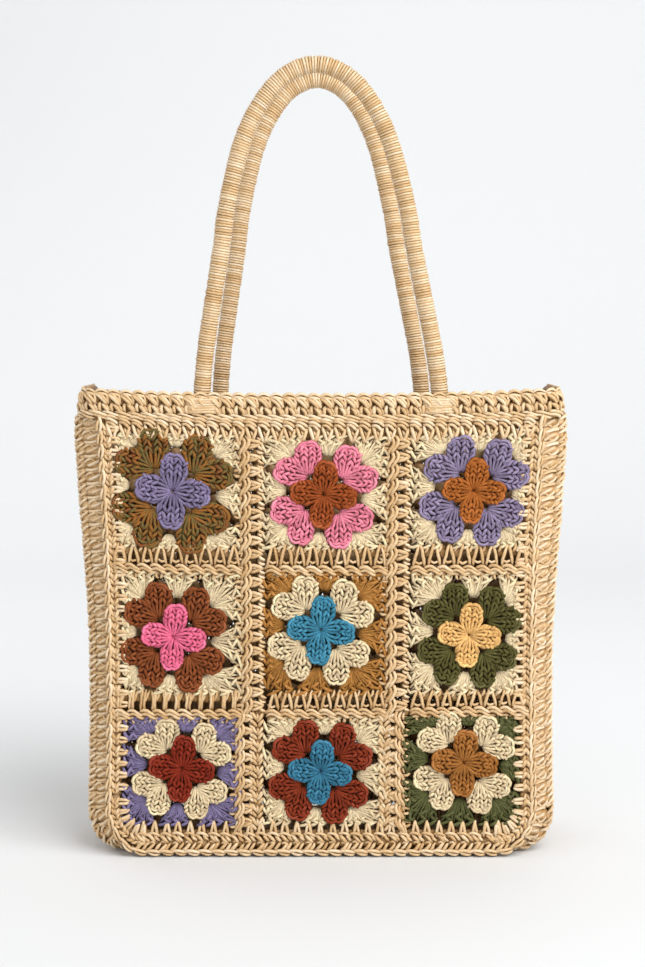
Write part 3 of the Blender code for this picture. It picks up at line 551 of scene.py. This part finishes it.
# Each column join: where its ridge's outer edge lies, which way its rungs lead, from where to where it runs,
# and how wide its ridge, its rungs and, beside the lowest squares, its column of plain knit are
for edge, way, top, low, ridge_width, rung_width, knit_width in (
    (-0.0654, 1, 0.3386, 0.1180, 0.0092, 0.0096, 0),
    (0.0526, 1, 0.3386, 0.1180, 0.0092, 0.0096, 0),
    (-0.0706, 1, 0.1190, 0.0230, 0.0080, 0.0074, 0.0092),
    (0.0686, -1, 0.1190, 0.0230, 0.0080, 0.0064, 0.0082),
):
    def down(start, width, pitch=RIDGE_PITCH):
        """A run of cells down the join, from start on across its width."""
        return course((start, top), (start, low), (way * width, 0), pitch, on_front)

    rungs_start = edge + way * (ridge_width - RUNGS_OVERLAP)
    lay(join_strands, RIDGE, *down(edge, ridge_width))
    lay(join_strands, RUNGS, *down(rungs_start, rung_width), steps=8)
    lay(join_strands, UNDERSIDE, *down(edge + way * UNDERSIDE_INSET, -UNDERSIDE_WIDTH))
    if knit_width:
        knit_start = rungs_start + way * (rung_width - KNIT_OVERLAP)
        lay(join_strands, KNIT, *down(knit_start, knit_width, KNIT_PITCH))
column_joins = work_up("column_joins_crochet", join_strands, [straw])
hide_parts("column_join_left", "column_join_right")
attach(column_joins, "root")

# The hem row under the squares and the top row over them: the same straw, worked along the front's edges,
# with spikes that reach into the squares.

HEM = [
    (2.7, 0.85, 0.66, [(-0.25, -0.20, 2.6), (-0.21, 0.30, 4.2), (-0.07, 0.86, 4.0), (0.0, 1.04, 3.0)]),
    (2.6, 0.85, 0.68, [(0.23, -0.20, 2.6), (0.17, 0.30, 4.2), (0.04, 0.80, 4.2), (-0.02, 0.98, 3.2)]),
    (2.7, 0.85, 0.64, [(-0.56, 0.04, 2.8), (-0.14, 0.18, 5.0), (0.30, 0.02, 4.2), (0.54, -0.16, 2.8)]),
    (5.0, 0.35, 0.25, [(0.0, 0.90, 0.4), (0.0, 0.4, 1.0), (0.0, -0.2, 0.8)]),
    (6.4, 0.3, 0.36, [(0.5, 0.30, 0.4), (0.5, 0.05, 1.0), (0.5, -0.2, 0.8)]),
]
HEM_PITCH = 0.0098
hem_strands = []
# The hem's knit and its spikes: how far to each side, from where up and how high, and how they are worked
for stitch, half, low, height, steps, loose in (
    (KNIT, 0.152, 0.0048, 0.0140, 7, 0.055),
    (HEM, 0.150, 0.0182, 0.0112, 8, 0.03),
):
    run = course((-half, low), (half, low), (0, height), HEM_PITCH, on_front)
    lay(hem_strands, stitch, *run, steps=steps, loose=loose)
hem_row = work_up("hem_row_crochet", hem_strands, [straw])
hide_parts("hem_row")
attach(hem_row, "root")

TOP = [
    (8.0, 0.3, 0.34, [(-0.52, 0.78, 1.6), (0.0, 0.78, 1.8), (0.52, 0.78, 1.6)]),
    (5.6, 0.4, 0.28, [(0.50, 0.60, 0.8), (0.48, 0.2, 1.2), (0.46, -0.2, 0.6)]),
    (2.8, 0.85, 0.70, [(-0.50, 0.98, 3.0), (-0.10, 1.04, 4.6), (0.44, 0.92, 3.2)]),
    (2.8, 0.85, 0.72, [(-0.50, 0.84, 3.2), (-0.14, 0.88, 5.0), (0.22, 0.74, 5.0), (0.46, 0.56, 3.4)]),
    (2.7, 0.85, 0.68, [(-0.48, 0.66, 3.0), (-0.12, 0.68, 4.8), (0.18, 0.50, 4.6), (0.32, 0.34, 3.2)]),
    (3.1, 0.85, 0.74, [(-0.42, 0.60, 3.2), (-0.28, 0.30, 4.8), (-0.12, -0.08, 4.4), (0.0, -0.42, 2.2)]),
    (3.0, 0.85, 0.70, [(0.42, 0.46, 3.2), (0.32, 0.18, 4.6), (0.16, -0.12, 4.2), (0.06, -0.40, 2.2)]),
    (2.3, 0.85, 0.58, [(-0.10, 0.32, 2.8), (0.06, 0.16, 4.0), (0.12, -0.06, 3.0)]),
]
TOP_PITCH = 0.0099
TOP_HALF = 0.1693
TOP_LOW = 0.3396
TOP_HEIGHT = 0.0132
top_strands = []
run = course((-TOP_HALF, TOP_LOW), (TOP_HALF, TOP_LOW), (0, TOP_HEIGHT), TOP_PITCH, on_front)
lay(top_strands, TOP, *run)
top_row = work_up("top_row_crochet", top_strands, [straw])
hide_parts("top_row")
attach(top_row, "root")

# The two seams: a plait of straw loops that closes the front and the back on the gusset, down one side, round
# the bottom corners and up the other. On the front, straw spikes run in from it over the edges of the squares.

SEAM_BASE = 0.0105
CORNER_RADIUS = 0.030
CORNER_X = HALF_WIDTH - CORNER_RADIUS
CORNER_Z = SEAM_BASE + CORNER_RADIUS
CLEAR = 0.0003
SEAM_SIDE = RIM_BASE - CLEAR - CORNER_Z
SEAM_ARC = CORNER_RADIUS * math.pi / 2
SEAM_LENGTH = 2 * SEAM_SIDE + 2 * SEAM_ARC + 2 * CORNER_X


def seam_line(walked):
    """Places on the seam's middle line and the way out there, by the length walked from its left end."""
    mirrored = walked > SEAM_LENGTH / 2
    length = np.where(mirrored, SEAM_LENGTH - walked, walked)
    turn = np.clip((length - SEAM_SIDE) / CORNER_RADIUS, 0, math.pi / 2)
    out_x, out_z = -np.cos(turn), -np.sin(turn)
    x = -CORNER_X + CORNER_RADIUS * out_x + np.maximum(length - SEAM_SIDE - SEAM_ARC, 0)
    z = CORNER_Z + CORNER_RADIUS * out_z + np.maximum(SEAM_SIDE - length, 0)
    flip = np.where(mirrored, -1.0, 1.0)
    return flip * x, z, flip * out_x, out_z


def seam_course(pitch, low, high, surface, start=0.0, end=SEAM_LENGTH, drop=0.0):
    """Cells along the seam, from start to end. Low and high are how far the cell's width lies out from the
    seam's middle, and drop is how much further out it lies along the base."""
    count = round((end - start) / pitch)

    def place(cell, u, v, w):
        x, z, out_x, out_z = seam_line(start + (cell + 0.5 + u) * (end - start) / count)
        off = low + (high - low) * v + drop * out_z**4
        return surface(x + out_x * off, z + out_z * off, w)

    return count, place


SMALL_RIDGE = [
    (4.4, 0.5, 0.2, [(-0.6, 0.5, 2.4), (0.0, 0.5, 2.8), (0.6, 0.5, 2.4)]),
    (2.9, 0.85, 0.74, [(-0.70, 0.34, 3.0), (-0.30, 0.70, 5.0), (0.16, 0.72, 5.6), (0.66, 0.40, 4.2)]),
    (2.4, 0.85, 0.66, [(-0.48, 0.86, 3.0), (-0.08, 0.30, 4.8), (0.34, 0.10, 4.6), (0.62, 0.10, 2.8)]),
]
SPIKES = [
    (3.0, 0.85, 0.76, [(-0.16, -0.05, 2.8), (-0.19, 0.40, 4.3), (-0.14, 0.86, 4.2), (-0.02, 1.06, 3.0)]),
    (3.0, 0.85, 0.70, [(0.16, -0.05, 2.8), (0.15, 0.40, 4.3), (0.12, 0.80, 4.3), (0.04, 0.98, 3.2)]),
    (5.0, 0.35, 0.30, [(0.0, 0.90, 0.6), (0.0, 0.5, 1.0), (0.0, 0.0, 0.8)]),
    (6.4, 0.25, 0.40, [(0.5, 0.40, 0.4), (0.5, 0.2, 1.2), (0.5, -0.1, 0.8)]),
]
# The seam's bed: one wide, flat strand of low tone under it, a painted shade
SEAM_BED = [(9.0, 0.15, 0.22, [(-0.6, 0.5, 0.3), (0.0, 0.5, 0.4), (0.6, 0.5, 0.3)])]
SEAM_PITCH = 0.0106
SEAM_KNIT_PITCH = 0.0100
SPIKES_PITCH = 0.0096
SPIKES_START = 0.0062
seam_strands = []
lay(seam_strands, SMALL_RIDGE, *seam_course(SEAM_PITCH, 0.0028, -0.0028, on_front, drop=0.0062), lift=-0.3)
lay(seam_strands, SEAM_BED, *seam_course(SEAM_PITCH, 0.0020, -0.0080, on_front, drop=0.0040), loose=0.0,
    vary=0.05)
# Each stretch of spikes: from where to where along the seam, and how far in its spikes reach
for start, end, finger in (
    (0.004, SEAM_SIDE - 0.012, 0.0150),
    (SEAM_SIDE - 0.010, SEAM_SIDE + SEAM_ARC + 0.004, 0.0165),
    (SEAM_LENGTH - SEAM_SIDE - SEAM_ARC - 0.004, SEAM_LENGTH - SEAM_SIDE + 0.010, 0.0165),
    (SEAM_LENGTH - SEAM_SIDE + 0.012, SEAM_LENGTH - 0.004, 0.0150),
):
    knit_run = seam_course(SEAM_KNIT_PITCH, -0.0016, -0.0082, on_front, start, end, drop=0.0030)
    spikes_run = seam_course(SPIKES_PITCH, -SPIKES_START, -finger, on_front, start, end)
    lay(seam_strands, KNIT, *knit_run, lift=-0.3)
    lay(seam_strands, SPIKES, *spikes_run, steps=8)
front_seam = work_up("front_seam_crochet", seam_strands, [straw])
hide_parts("front_seam")
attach(front_seam, "root")

seam_strands = []
lay(seam_strands, SMALL_RIDGE, *seam_course(SEAM_PITCH, -0.0034, 0.0034, on_back, drop=0.0050), lift=-0.3)
lay(seam_strands, SEAM_BED, *seam_course(SEAM_PITCH, 0.0030, -0.0070, on_back, drop=0.0040), loose=0.0,
    vary=0.05)
back_seam = work_up("back_seam_crochet", seam_strands, [straw])
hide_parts("back_seam")
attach(back_seam, "root")

# The back: one plain panel of the same straw, row on row of tall stitches with small holes between them.

BACK = [
    (11.8, 0.09, 0.62, [(0.0, -0.06, 0.8), (0.0, 0.5, 0.9), (0.0, 1.06, 0.8)]),
    (2.7, 0.85, 0.66, [(0.02, 0.76, 2.6), (-0.12, 0.44, 4.0), (-0.20, 0.0, 3.0)]),
    (2.7, 0.85, 0.66, [(0.08, 0.72, 2.6), (0.18, 0.40, 4.0), (0.20, -0.02, 3.0)]),
    (2.7, 0.85, 0.72, [(-0.46, 1.02, 2.6), (-0.12, 0.88, 4.6), (0.20, 0.66, 4.4), (0.38, 0.48, 2.8)]),
    (2.6, 0.85, 0.70, [(-0.20, 1.06, 2.6), (0.10, 0.90, 4.4), (0.52, 0.78, 3.2)]),
]
BACK_TOP = 0.3520
BACK_ROWS = 26
BACK_PITCH = 0.0098
BACK_INSET = 0.0047
BACK_CORNER = 0.0253
ROW_SHIFT = 0.0024
back_strands = []
for row in range(BACK_ROWS):
    low = HEM_BASE + (BACK_TOP - HEM_BASE) * row / BACK_ROWS
    height = (BACK_TOP - HEM_BASE) / BACK_ROWS
    drop = max(0.0, CORNER_Z - low - height / 2)
    half = CORNER_X + math.sqrt(max(0.0, BACK_CORNER**2 - drop**2)) if drop else HALF_WIDTH - BACK_INSET
    shift = ROW_SHIFT * (row % 2)
    run = course((half - shift, low), (-half + ROW_SHIFT - shift, low), (0, height), BACK_PITCH, on_back)
    lay(back_strands, BACK, *run, steps=4)
back_panel = work_up("back_panel_crochet", back_strands, [straw], sides=4)
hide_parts("back_panel")
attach(back_panel, "root")

# The gusset: one ribbed strip, worked in short rows across its depth, from the rim down a side, under the base
# and up the other side. It bows out past the seams, and the bag stands on its ribs.

GUSSET_EDGE = BAG_DEPTH / 2 - WALL - CLEAR
GUSSET = [
    (12.4, 0.16, 0.48, [(-0.56, 0.5, 1.5), (0.0, 0.5, 2.0), (0.56, 0.5, 1.5)]),
    (4.6, 0.6, 0.56, [(-0.56, 0.02, 1.2), (0.0, 0.04, 1.9), (0.56, 0.02, 1.2)]),
    (3.7, 0.85, 0.80, [(-0.52, 0.04, 1.2), (-0.30, 0.34, 3.8), (0.02, 0.62, 4.0), (0.30, 0.66, 1.8)]),
    (3.6, 0.85, 0.76, [(-0.50, 0.60, 1.4), (-0.20, 0.88, 3.6), (0.18, 1.00, 3.4), (0.46, 0.92, 1.2)]),
    (3.3, 0.85, 0.76, [(-0.12, 0.02, 2.2), (0.18, 0.24, 3.9), (0.46, 0.52, 1.8)]),
    (2.7, 0.85, 0.60, [(-0.36, 0.50, 1.6), (-0.06, 0.24, 3.0), (0.12, -0.06, 2.2)]),
]
RIB_PITCH = 0.0110
RIBS = 2 * round(SEAM_LENGTH / RIB_PITCH / 2) + 1
STITCHES_A_RIB = 9
FLAT_SHARE, BENT_SHARE = 0.72, 0.28
BASE_BOW = SEAM_BASE - 0.0026
SIDE_BOW = 0.0202
CORNER_BOW = 0.0150
UPPER_BOW = 0.0040
TOP_TUCK = 0.0016
GUSSET_WALL = 0.0030


def gusset_place(cell, u, v, w):
    """Where a rib's stitches go: bowed out between the seams, most at the sides, and bent in at its edges."""
    rib, stitch = cell // STITCHES_A_RIB, cell % STITCHES_A_RIB
    walked = (rib + v) * SEAM_LENGTH / RIBS
    even = np.clip((stitch + 0.5 + u) / STITCHES_A_RIB * 2 - 1, -1, 1)
    share = 0.55 * even + 0.45 * np.sin(even * math.pi / 2)
    x, z, out_x, out_z = seam_line(np.clip(walked, 0, SEAM_LENGTH))
    bulge = 1 - (np.maximum(0, abs(share) - FLAT_SHARE) / BENT_SHARE) ** 2
    upper = UPPER_BOW * np.clip((z - 0.18) / 0.10, 0, 1) - TOP_TUCK * np.clip((z - 0.335) / 0.015, 0, 1)
    reach = BASE_BOW + (SIDE_BOW - SEAM_BASE + upper) * out_x**2 + CORNER_BOW * (out_x * out_z) ** 2
    off = reach * bulge - GUSSET_WALL + w * (0.75 + 0.25 * bulge)
    return settled(x + out_x * off, share * GUSSET_EDGE, z + out_z * off)


gusset_strands = []
lay(gusset_strands, GUSSET, RIBS * STITCHES_A_RIB, gusset_place, steps=5)
gusset = work_up("gusset_crochet", gusset_strands, [straw], sides=4)
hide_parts("gusset")
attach(gusset, "root")

# The rim: a band of tall posts round the mouth, between a plaited ridge and the chain that finishes its edge.

RIM_POSTS = [
    (11.8, 0.09, 0.30, [(0.0, -0.06, 0.8), (0.0, 0.25, 1.0), (0.0, 0.60, 0.8)]),
    (5.2, 0.4, 0.30, [(0.06, 0.30, 1.2), (0.10, 0.6, 1.6), (0.14, 0.98, 1.2)]),
    (4.8, 0.4, 0.30, [(0.56, 0.30, 1.2), (0.54, 0.6, 1.6), (0.50, 0.98, 1.2)]),
    (3.3, 0.85, 0.68, [(-0.16, 0.50, 3.0), (-0.29, 0.30, 4.6), (-0.22, 0.04, 3.4)]),
    (3.2, 0.85, 0.64, [(-0.06, 0.42, 3.2), (0.16, 0.30, 4.8), (0.36, 0.10, 4.2), (0.24, -0.02, 2.8)]),
    (2.7, 0.85, 0.60, [(0.30, 0.36, 3.0), (0.48, 0.22, 4.2), (0.56, 0.02, 3.0)]),
    (2.7, 0.85, 0.62, [(0.34, 0.90, 3.0), (0.47, 0.64, 4.4), (0.40, 0.36, 3.2)]),
    (2.9, 0.85, 0.68, [(-0.56, 0.86, 3.2), (-0.20, 0.74, 5.2), (0.14, 0.54, 5.2), (0.32, 0.34, 3.4)]),
    (2.8, 0.85, 0.66, [(-0.30, 0.92, 3.2), (0.04, 0.80, 5.0), (0.34, 0.58, 4.8), (0.52, 0.40, 3.0)]),
]
RIM_RIDGE = [
    (4.8, 0.4, 0.35, [(-0.6, 0.4, 1.8), (0.0, 0.4, 2.0), (0.6, 0.4, 1.8)]),
    (2.7, 0.85, 0.72, [(-0.76, 0.86, 2.6), (-0.30, 0.90, 4.2), (0.30, 0.55, 4.2), (0.76, 0.34, 2.6)]),
    (2.5, 0.85, 0.68, [(-0.70, 0.42, 2.4), (-0.25, 0.42, 3.8), (0.30, 0.06, 3.6), (0.72, -0.08, 2.2)]),
]
EDGE_CHAIN = [
    (5.2, 0.5, 0.25, [(-0.6, 0.45, 2.2), (0.0, 0.5, 2.6), (0.6, 0.45, 2.2)]),
    (2.8, 0.85, 0.74, [(-0.66, 0.36, 3.0), (-0.34, 0.92, 4.2), (0.06, 1.0, 4.2), (0.60, 0.50, 3.4)]),
    (2.8, 0.85, 0.72, [(-0.56, 0.34, 3.2), (-0.20, 0.52, 5.4), (0.20, 0.40, 5.4), (0.62, 0.10, 3.4)]),
]
RIM_PITCH = 0.0098
RIM_RIDGE_PITCH = 0.0100
RIM_FLARE = 0.0030
RIM_CORNER = 0.014
RIM_X = HALF_WIDTH + RIM_BULGE
# The stretches of a quarter turn: along the front, round the corner and back to the middle
RIM_STRETCHES = [RIM_X - RIM_CORNER, RIM_CORNER * math.pi / 2, BAG_DEPTH / 2 - RIM_CORNER]
RIM_LENGTH = 4 * sum(RIM_STRETCHES)


def rim_course(pitch, low, high):
    """Cells round the rim, anticlockwise from the middle of the front, between two heights."""
    count = round(RIM_LENGTH / pitch)
    straight, arc, _ = RIM_STRETCHES

    def place(cell, u, v, w):
        walked = np.mod((cell + 0.5 + u) * RIM_LENGTH / count, RIM_LENGTH)
        quarter = walked // (RIM_LENGTH / 4)
        length = np.mod(walked, RIM_LENGTH / 4)
        length = np.where(quarter % 2 == 1, RIM_LENGTH / 4 - length, length)
        turn = np.clip((length - straight) / RIM_CORNER, 0, math.pi / 2)
        x = np.minimum(length, straight) + RIM_CORNER * np.sin(turn)
        y = -BAG_DEPTH / 2 + RIM_CORNER * (1 - np.cos(turn)) + np.maximum(length - straight - arc, 0)
        flip_x = np.where((quarter == 0) | (quarter == 1), 1.0, -1.0)
        flip_y = np.where((quarter == 0) | (quarter == 3), 1.0, -1.0)
        z = low + (high - low) * v
        flare = RIM_FLARE * np.clip((RIM_TOP - 0.004 - z) / 0.012, 0, 1)
        x = x + (w + flare - WALL) * np.sin(turn)
        y = y - (w - WALL) * np.cos(turn)
        return settled(x * flip_x, y * flip_y, z)

    return count, place


rim_strands = []
lay(rim_strands, RIM_POSTS, *rim_course(RIM_PITCH, RIM_BASE + 0.0035, RIM_TOP - 0.0020))
lay(rim_strands, RIM_RIDGE, *rim_course(RIM_RIDGE_PITCH, RIM_BASE - 0.0012, RIM_BASE + 0.0044))
lay(rim_strands, EDGE_CHAIN, *rim_course(RIM_PITCH, RIM_TOP - 0.0064, RIM_TOP - 0.0008), lift=-1.6)
rim = work_up("rim_band_crochet", rim_strands, [straw])
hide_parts("rim_band")
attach(rim, "root")

# The handles: straw wound tightly round a core of rope, about 2 mm a turn, with both ends held inside the
# rim by the tabs.

HANDLE_RADIUS = 0.007
HANDLE_FOOT_Z = RIM_TOP - 0.005
HANDLE_Y = BAG_DEPTH / 2 - WALL - CLEAR - HANDLE_RADIUS
HANDLE_LEAN = 0.008
HANDLE_TUCKED_IN = 0.024
TURN_PITCH = 0.0021
# A handle's right half: the shares of its rise and of its half width that it passes on the way up
HANDLE_PROFILE = ((0.000, 1.000), (0.110, 0.970), (0.215, 0.925), (0.450, 0.812), (0.545, 0.776),
                  (0.660, 0.707), (0.775, 0.615), (0.870, 0.490), (0.945, 0.330), (0.986, 0.165),
                  (1.000, 0.000))
# Each handle: its side of the bag, how far apart its feet are, its rise, how far it drifts sideways by its
# top, and how much further in its right leg bends
HANDLES = (("front", -1, 0.186, 0.2520, -0.0035, 0.0020), ("back", 1, 0.167, 0.2547, -0.0030, 0.0036))


def handle_line(side, spacing, rise, drift, tuck):
    """The handle's length, and its middle line, read at 400 even steps from its left end."""
    right = [(out * spacing / 2 + drift * up, side * (HANDLE_Y + HANDLE_LEAN * up), HANDLE_FOOT_Z + rise * up)
             for up, out in HANDLE_PROFILE]
    left = [(2 * drift * up - x, y, z) for (x, y, z), (up, _) in zip(right, HANDLE_PROFILE)]
    right = [(x - tuck * math.sin(math.pi * up**1.3), y, z)
             for (x, y, z), (up, _) in zip(right, HANDLE_PROFILE)]
    left_end, right_end = [(end * spacing / 2, side * HANDLE_Y, HANDLE_FOOT_Z - HANDLE_TUCKED_IN)
                           for end in (-1, 1)]
    fine = smoothed([left_end, *left[:-1], *right[::-1], right_end], 1500)
    lengths = np.concatenate([[0], np.cumsum(np.linalg.norm(np.diff(fine, axis=0), axis=1))])
    even = np.linspace(0, lengths[-1], 400)
    return lengths[-1], np.stack([np.interp(even, lengths, fine[:, k]) for k in range(3)], -1)


for handle_name, side, *shape in HANDLES:
    length, line = handle_line(side, *shape)
    turns = round(length / TURN_PITCH)
    ahead = unit(np.gradient(line, axis=0))

    def wound(cell, u, v, w):
        """u counts turns of the winding, v goes along the handle within a turn, w is out from its middle."""
        at = np.clip((cell + 0.5 + v + u) / turns, 0, 1) * (len(line) - 1)
        low = np.minimum(at.astype(int), len(line) - 2)
        t = (at - low)[..., None]
        point = line[low] * (1 - t) + line[low + 1] * t
        forward = unit(ahead[low] * (1 - t) + ahead[low + 1] * t)
        across = unit(np.cross(forward, np.array([0.0, 1.0, 0.0])))
        away = np.cross(across, forward)
        angle = 2 * math.pi * u
        return point + w[..., None] * (np.cos(angle)[..., None] * away + np.sin(angle)[..., None] * across)

    one_turn = [(-0.02, 0.0, 5.9), (0.25, 0.30, 6.3), (0.5, 0.0, 6.2), (0.75, -0.30, 6.3), (1.02, 0.0, 5.9)]
    wraps = []
    lay(wraps, [(2.3, 0.70, 0.70, one_turn)], turns - 1, wound, steps=15, loose=0.006, vary=0.16)
    piece = work_up(f"handle_{handle_name}_wound", wraps, [straw], sides=4, taper=1.0)
    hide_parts(f"handle_{handle_name}")
    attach(piece, "root")

# The tabs: straw sewn round each handle's end, inside the rim, and through to the rim's outer face, where it
# shows as a patch of close stitches over the posts.

TAB_HALF = 0.0125
PATCH_HALF = 0.0122
TAB_LOW = 0.3482
PATCH_LOW = RIM_BASE + 0.0052
TAB_PITCH = 0.0019
TAB_INSET = 0.0012
LOOP_DEPTH = 1.75
TAB_LOOP = [(2.4, 0.8, 0.6, [(-1.35, 0.0, 0.0), (-0.75, 0.0, 0.6), (-0.62, 0.0, 4.0), (0.0, 0.0, 8.6),
                             (0.62, 0.0, 4.0), (0.75, 0.0, 0.6), (1.35, 0.0, 0.0)])]
TAB_PATCH = [
    (2.3, 0.7, 0.66, [(-1.10, 0.30, 3.4), (-0.5, 0.75, 5.0), (0.3, 0.50, 5.2), (1.12, -0.20, 3.4)]),
    (2.3, 0.7, 0.70, [(-1.05, -0.10, 3.4), (-0.2, 0.34, 5.2), (0.6, 0.62, 5.2), (1.06, 0.50, 3.4)]),
]
for handle_name, side, spacing, *_ in HANDLES:
    for end_name, end in (("left", -1), ("right", 1)):
        tab_strands = []
        middle = end * spacing / 2

        def inside(cell, u, v, w):
            x = middle + u * TAB_HALF
            y = side * (BAG_DEPTH / 2 - WALL - TAB_INSET) - side * w * LOOP_DEPTH
            return np.stack(np.broadcast_arrays(x, y, TAB_LOW + cell * TAB_PITCH), -1)

        def outside(cell, u, v, w):
            z = PATCH_LOW + (cell + v) * TAB_PITCH
            return settled(middle + u * PATCH_HALF, side * (BAG_DEPTH / 2 - WALL + w), z)

        lay(tab_strands, TAB_LOOP, 8, inside, steps=17, loose=0.006)
        lay(tab_strands, TAB_PATCH, 6, outside, steps=7, loose=0.02)
        piece = work_up(f"handle_tab_{handle_name}_{end_name}_sewn", tab_strands, [straw])
        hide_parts(f"handle_tab_{handle_name}_{end_name}")
        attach(piece, "root")

# The studio: a sheet of matt paper that lies under the bag and sweeps up well behind it, a large soft key
# light from the upper right, weak lights from both sides, and one that opens the shadow behind the bag.

FLOOR_HALF = 8.0
FLOOR_FRONT = -6.0
SWEEP_Y = 1.5
SWEEP_RADIUS = 1.2
SHEET_TOP = 5.0
sweep = [(FLOOR_FRONT, 0.0), (SWEEP_Y, 0.0)]
sweep += [(SWEEP_Y + SWEEP_RADIUS * math.sin(a), SWEEP_RADIUS - SWEEP_RADIUS * math.cos(a))
          for a in np.linspace(0.1, math.pi / 2, 14)]
sweep += [(SWEEP_Y + SWEEP_RADIUS, SHEET_TOP)]
verts = [(x, y, z) for y, z in sweep for x in (-FLOOR_HALF, FLOOR_HALF)]
faces = [(2 * i, 2 * i + 1, 2 * i + 3, 2 * i + 2) for i in range(len(sweep) - 1)]
sheet = bpy.data.meshes.new("studio_floor")
sheet.from_pydata(verts, [], faces)
sheet.polygons.foreach_set("use_smooth", [True] * len(faces))
floor = bpy.data.objects.new("studio_floor", sheet)
bpy.context.scene.collection.objects.link(floor)
# Matt paper throws back no highlight. Its colour is painted a little darker under the bag and paler the
# further back it lies, a painted light that makes up for the light falling off towards the back.
paper = bpy.data.materials.new("matt studio paper")
paper.use_nodes = True
paper_nodes = paper.node_tree.nodes
spot = add(paper_nodes, "ShaderNodeTexCoord")
spot_parts = add(paper_nodes, "ShaderNodeSeparateXYZ", Vector=spot.outputs["Object"])
distance = add(paper_nodes, "ShaderNodeMapRange", Value=spot_parts.outputs["Y"], From_Min=0.05, From_Max=2.5)
eased = add(paper_nodes, "ShaderNodeMath", {"operation": "POWER"}, _0=distance.outputs[0], _1=0.7)
# Painted light: the paper is made paler with distance back from the bag
paper_tone = add(paper_nodes, "ShaderNodeMath", {"operation": "MULTIPLY_ADD"},
                 _0=eased.outputs[0], _1=0.180, _2=0.742)
paper_hue = add(paper_nodes, "ShaderNodeVectorMath", {"operation": "SCALE"},
                _0=(0.975, 0.99, 1.0), Scale=paper_tone.outputs[0])
paper_shader = paper_nodes["Principled BSDF"]
paper.node_tree.links.new(paper_hue.outputs[0], paper_shader.inputs["Base Color"])
paper_shader.inputs["Roughness"].default_value = 0.9
paper_shader.inputs["Specular IOR Level"].default_value = 0.2
sheet.materials.append(paper)

# Each light: where it stands, what it points at, its size in metres and its power in watts
for light_name, stand, aim, size, watts in (
    ("key", (1.2, -1.45, 2.2), (0, 0, 0.25), 2.0, 61),
    ("side", (1.7, -0.75, 0.7), (0.1, 0, 0.2), 1.0, 9),
    ("fill", (-1.8, -1.6, 1.0), (0, 0, 0.3), 2.0, 8),
    ("shadow fill", (-1.5, 1.0, 1.3), (-0.35, 0.3, 0), 1.4, 6),
):
    data = bpy.data.lights.new(light_name, "AREA")
    data.size = size
    data.energy = watts
    lamp = bpy.data.objects.new(light_name, data)
    lamp.location = stand
    towards = np.array(aim) - np.array(stand)
    lamp.rotation_euler = (math.pi - math.acos(towards[2] / np.linalg.norm(towards)), 0,
                           math.atan2(towards[1], towards[0]) - math.pi / 2)
    bpy.context.scene.collection.objects.link(lamp)
world = bpy.data.worlds.new("studio air")
world.use_nodes = True
world.node_tree.nodes["Background"].inputs["Color"].default_value = (1, 1, 1, 1)
world.node_tree.nodes["Background"].inputs["Strength"].default_value = 0.62
bpy.context.scene.world = world
bpy.context.scene.view_settings.view_transform = "Standard"

# The camera stands 1.3 m in front of the bag's front and looks down by about 5 degrees, as in the photo
CAMERA_DISTANCE = 1.30
CAMERA_HEIGHT = 0.42
LOOKS_DOWN = 5.31
camera_data = bpy.data.cameras.new("camera")
camera_data.lens = 62.23
camera_data.sensor_width = 36
camera = bpy.data.objects.new("camera", camera_data)
camera.location = (0.0013, -BAG_DEPTH / 2 - CAMERA_DISTANCE, CAMERA_HEIGHT)
camera.rotation_euler = (math.radians(90 - LOOKS_DOWN), 0, 0)
bpy.context.scene.collection.objects.link(camera)
bpy.context.scene.camera = camera
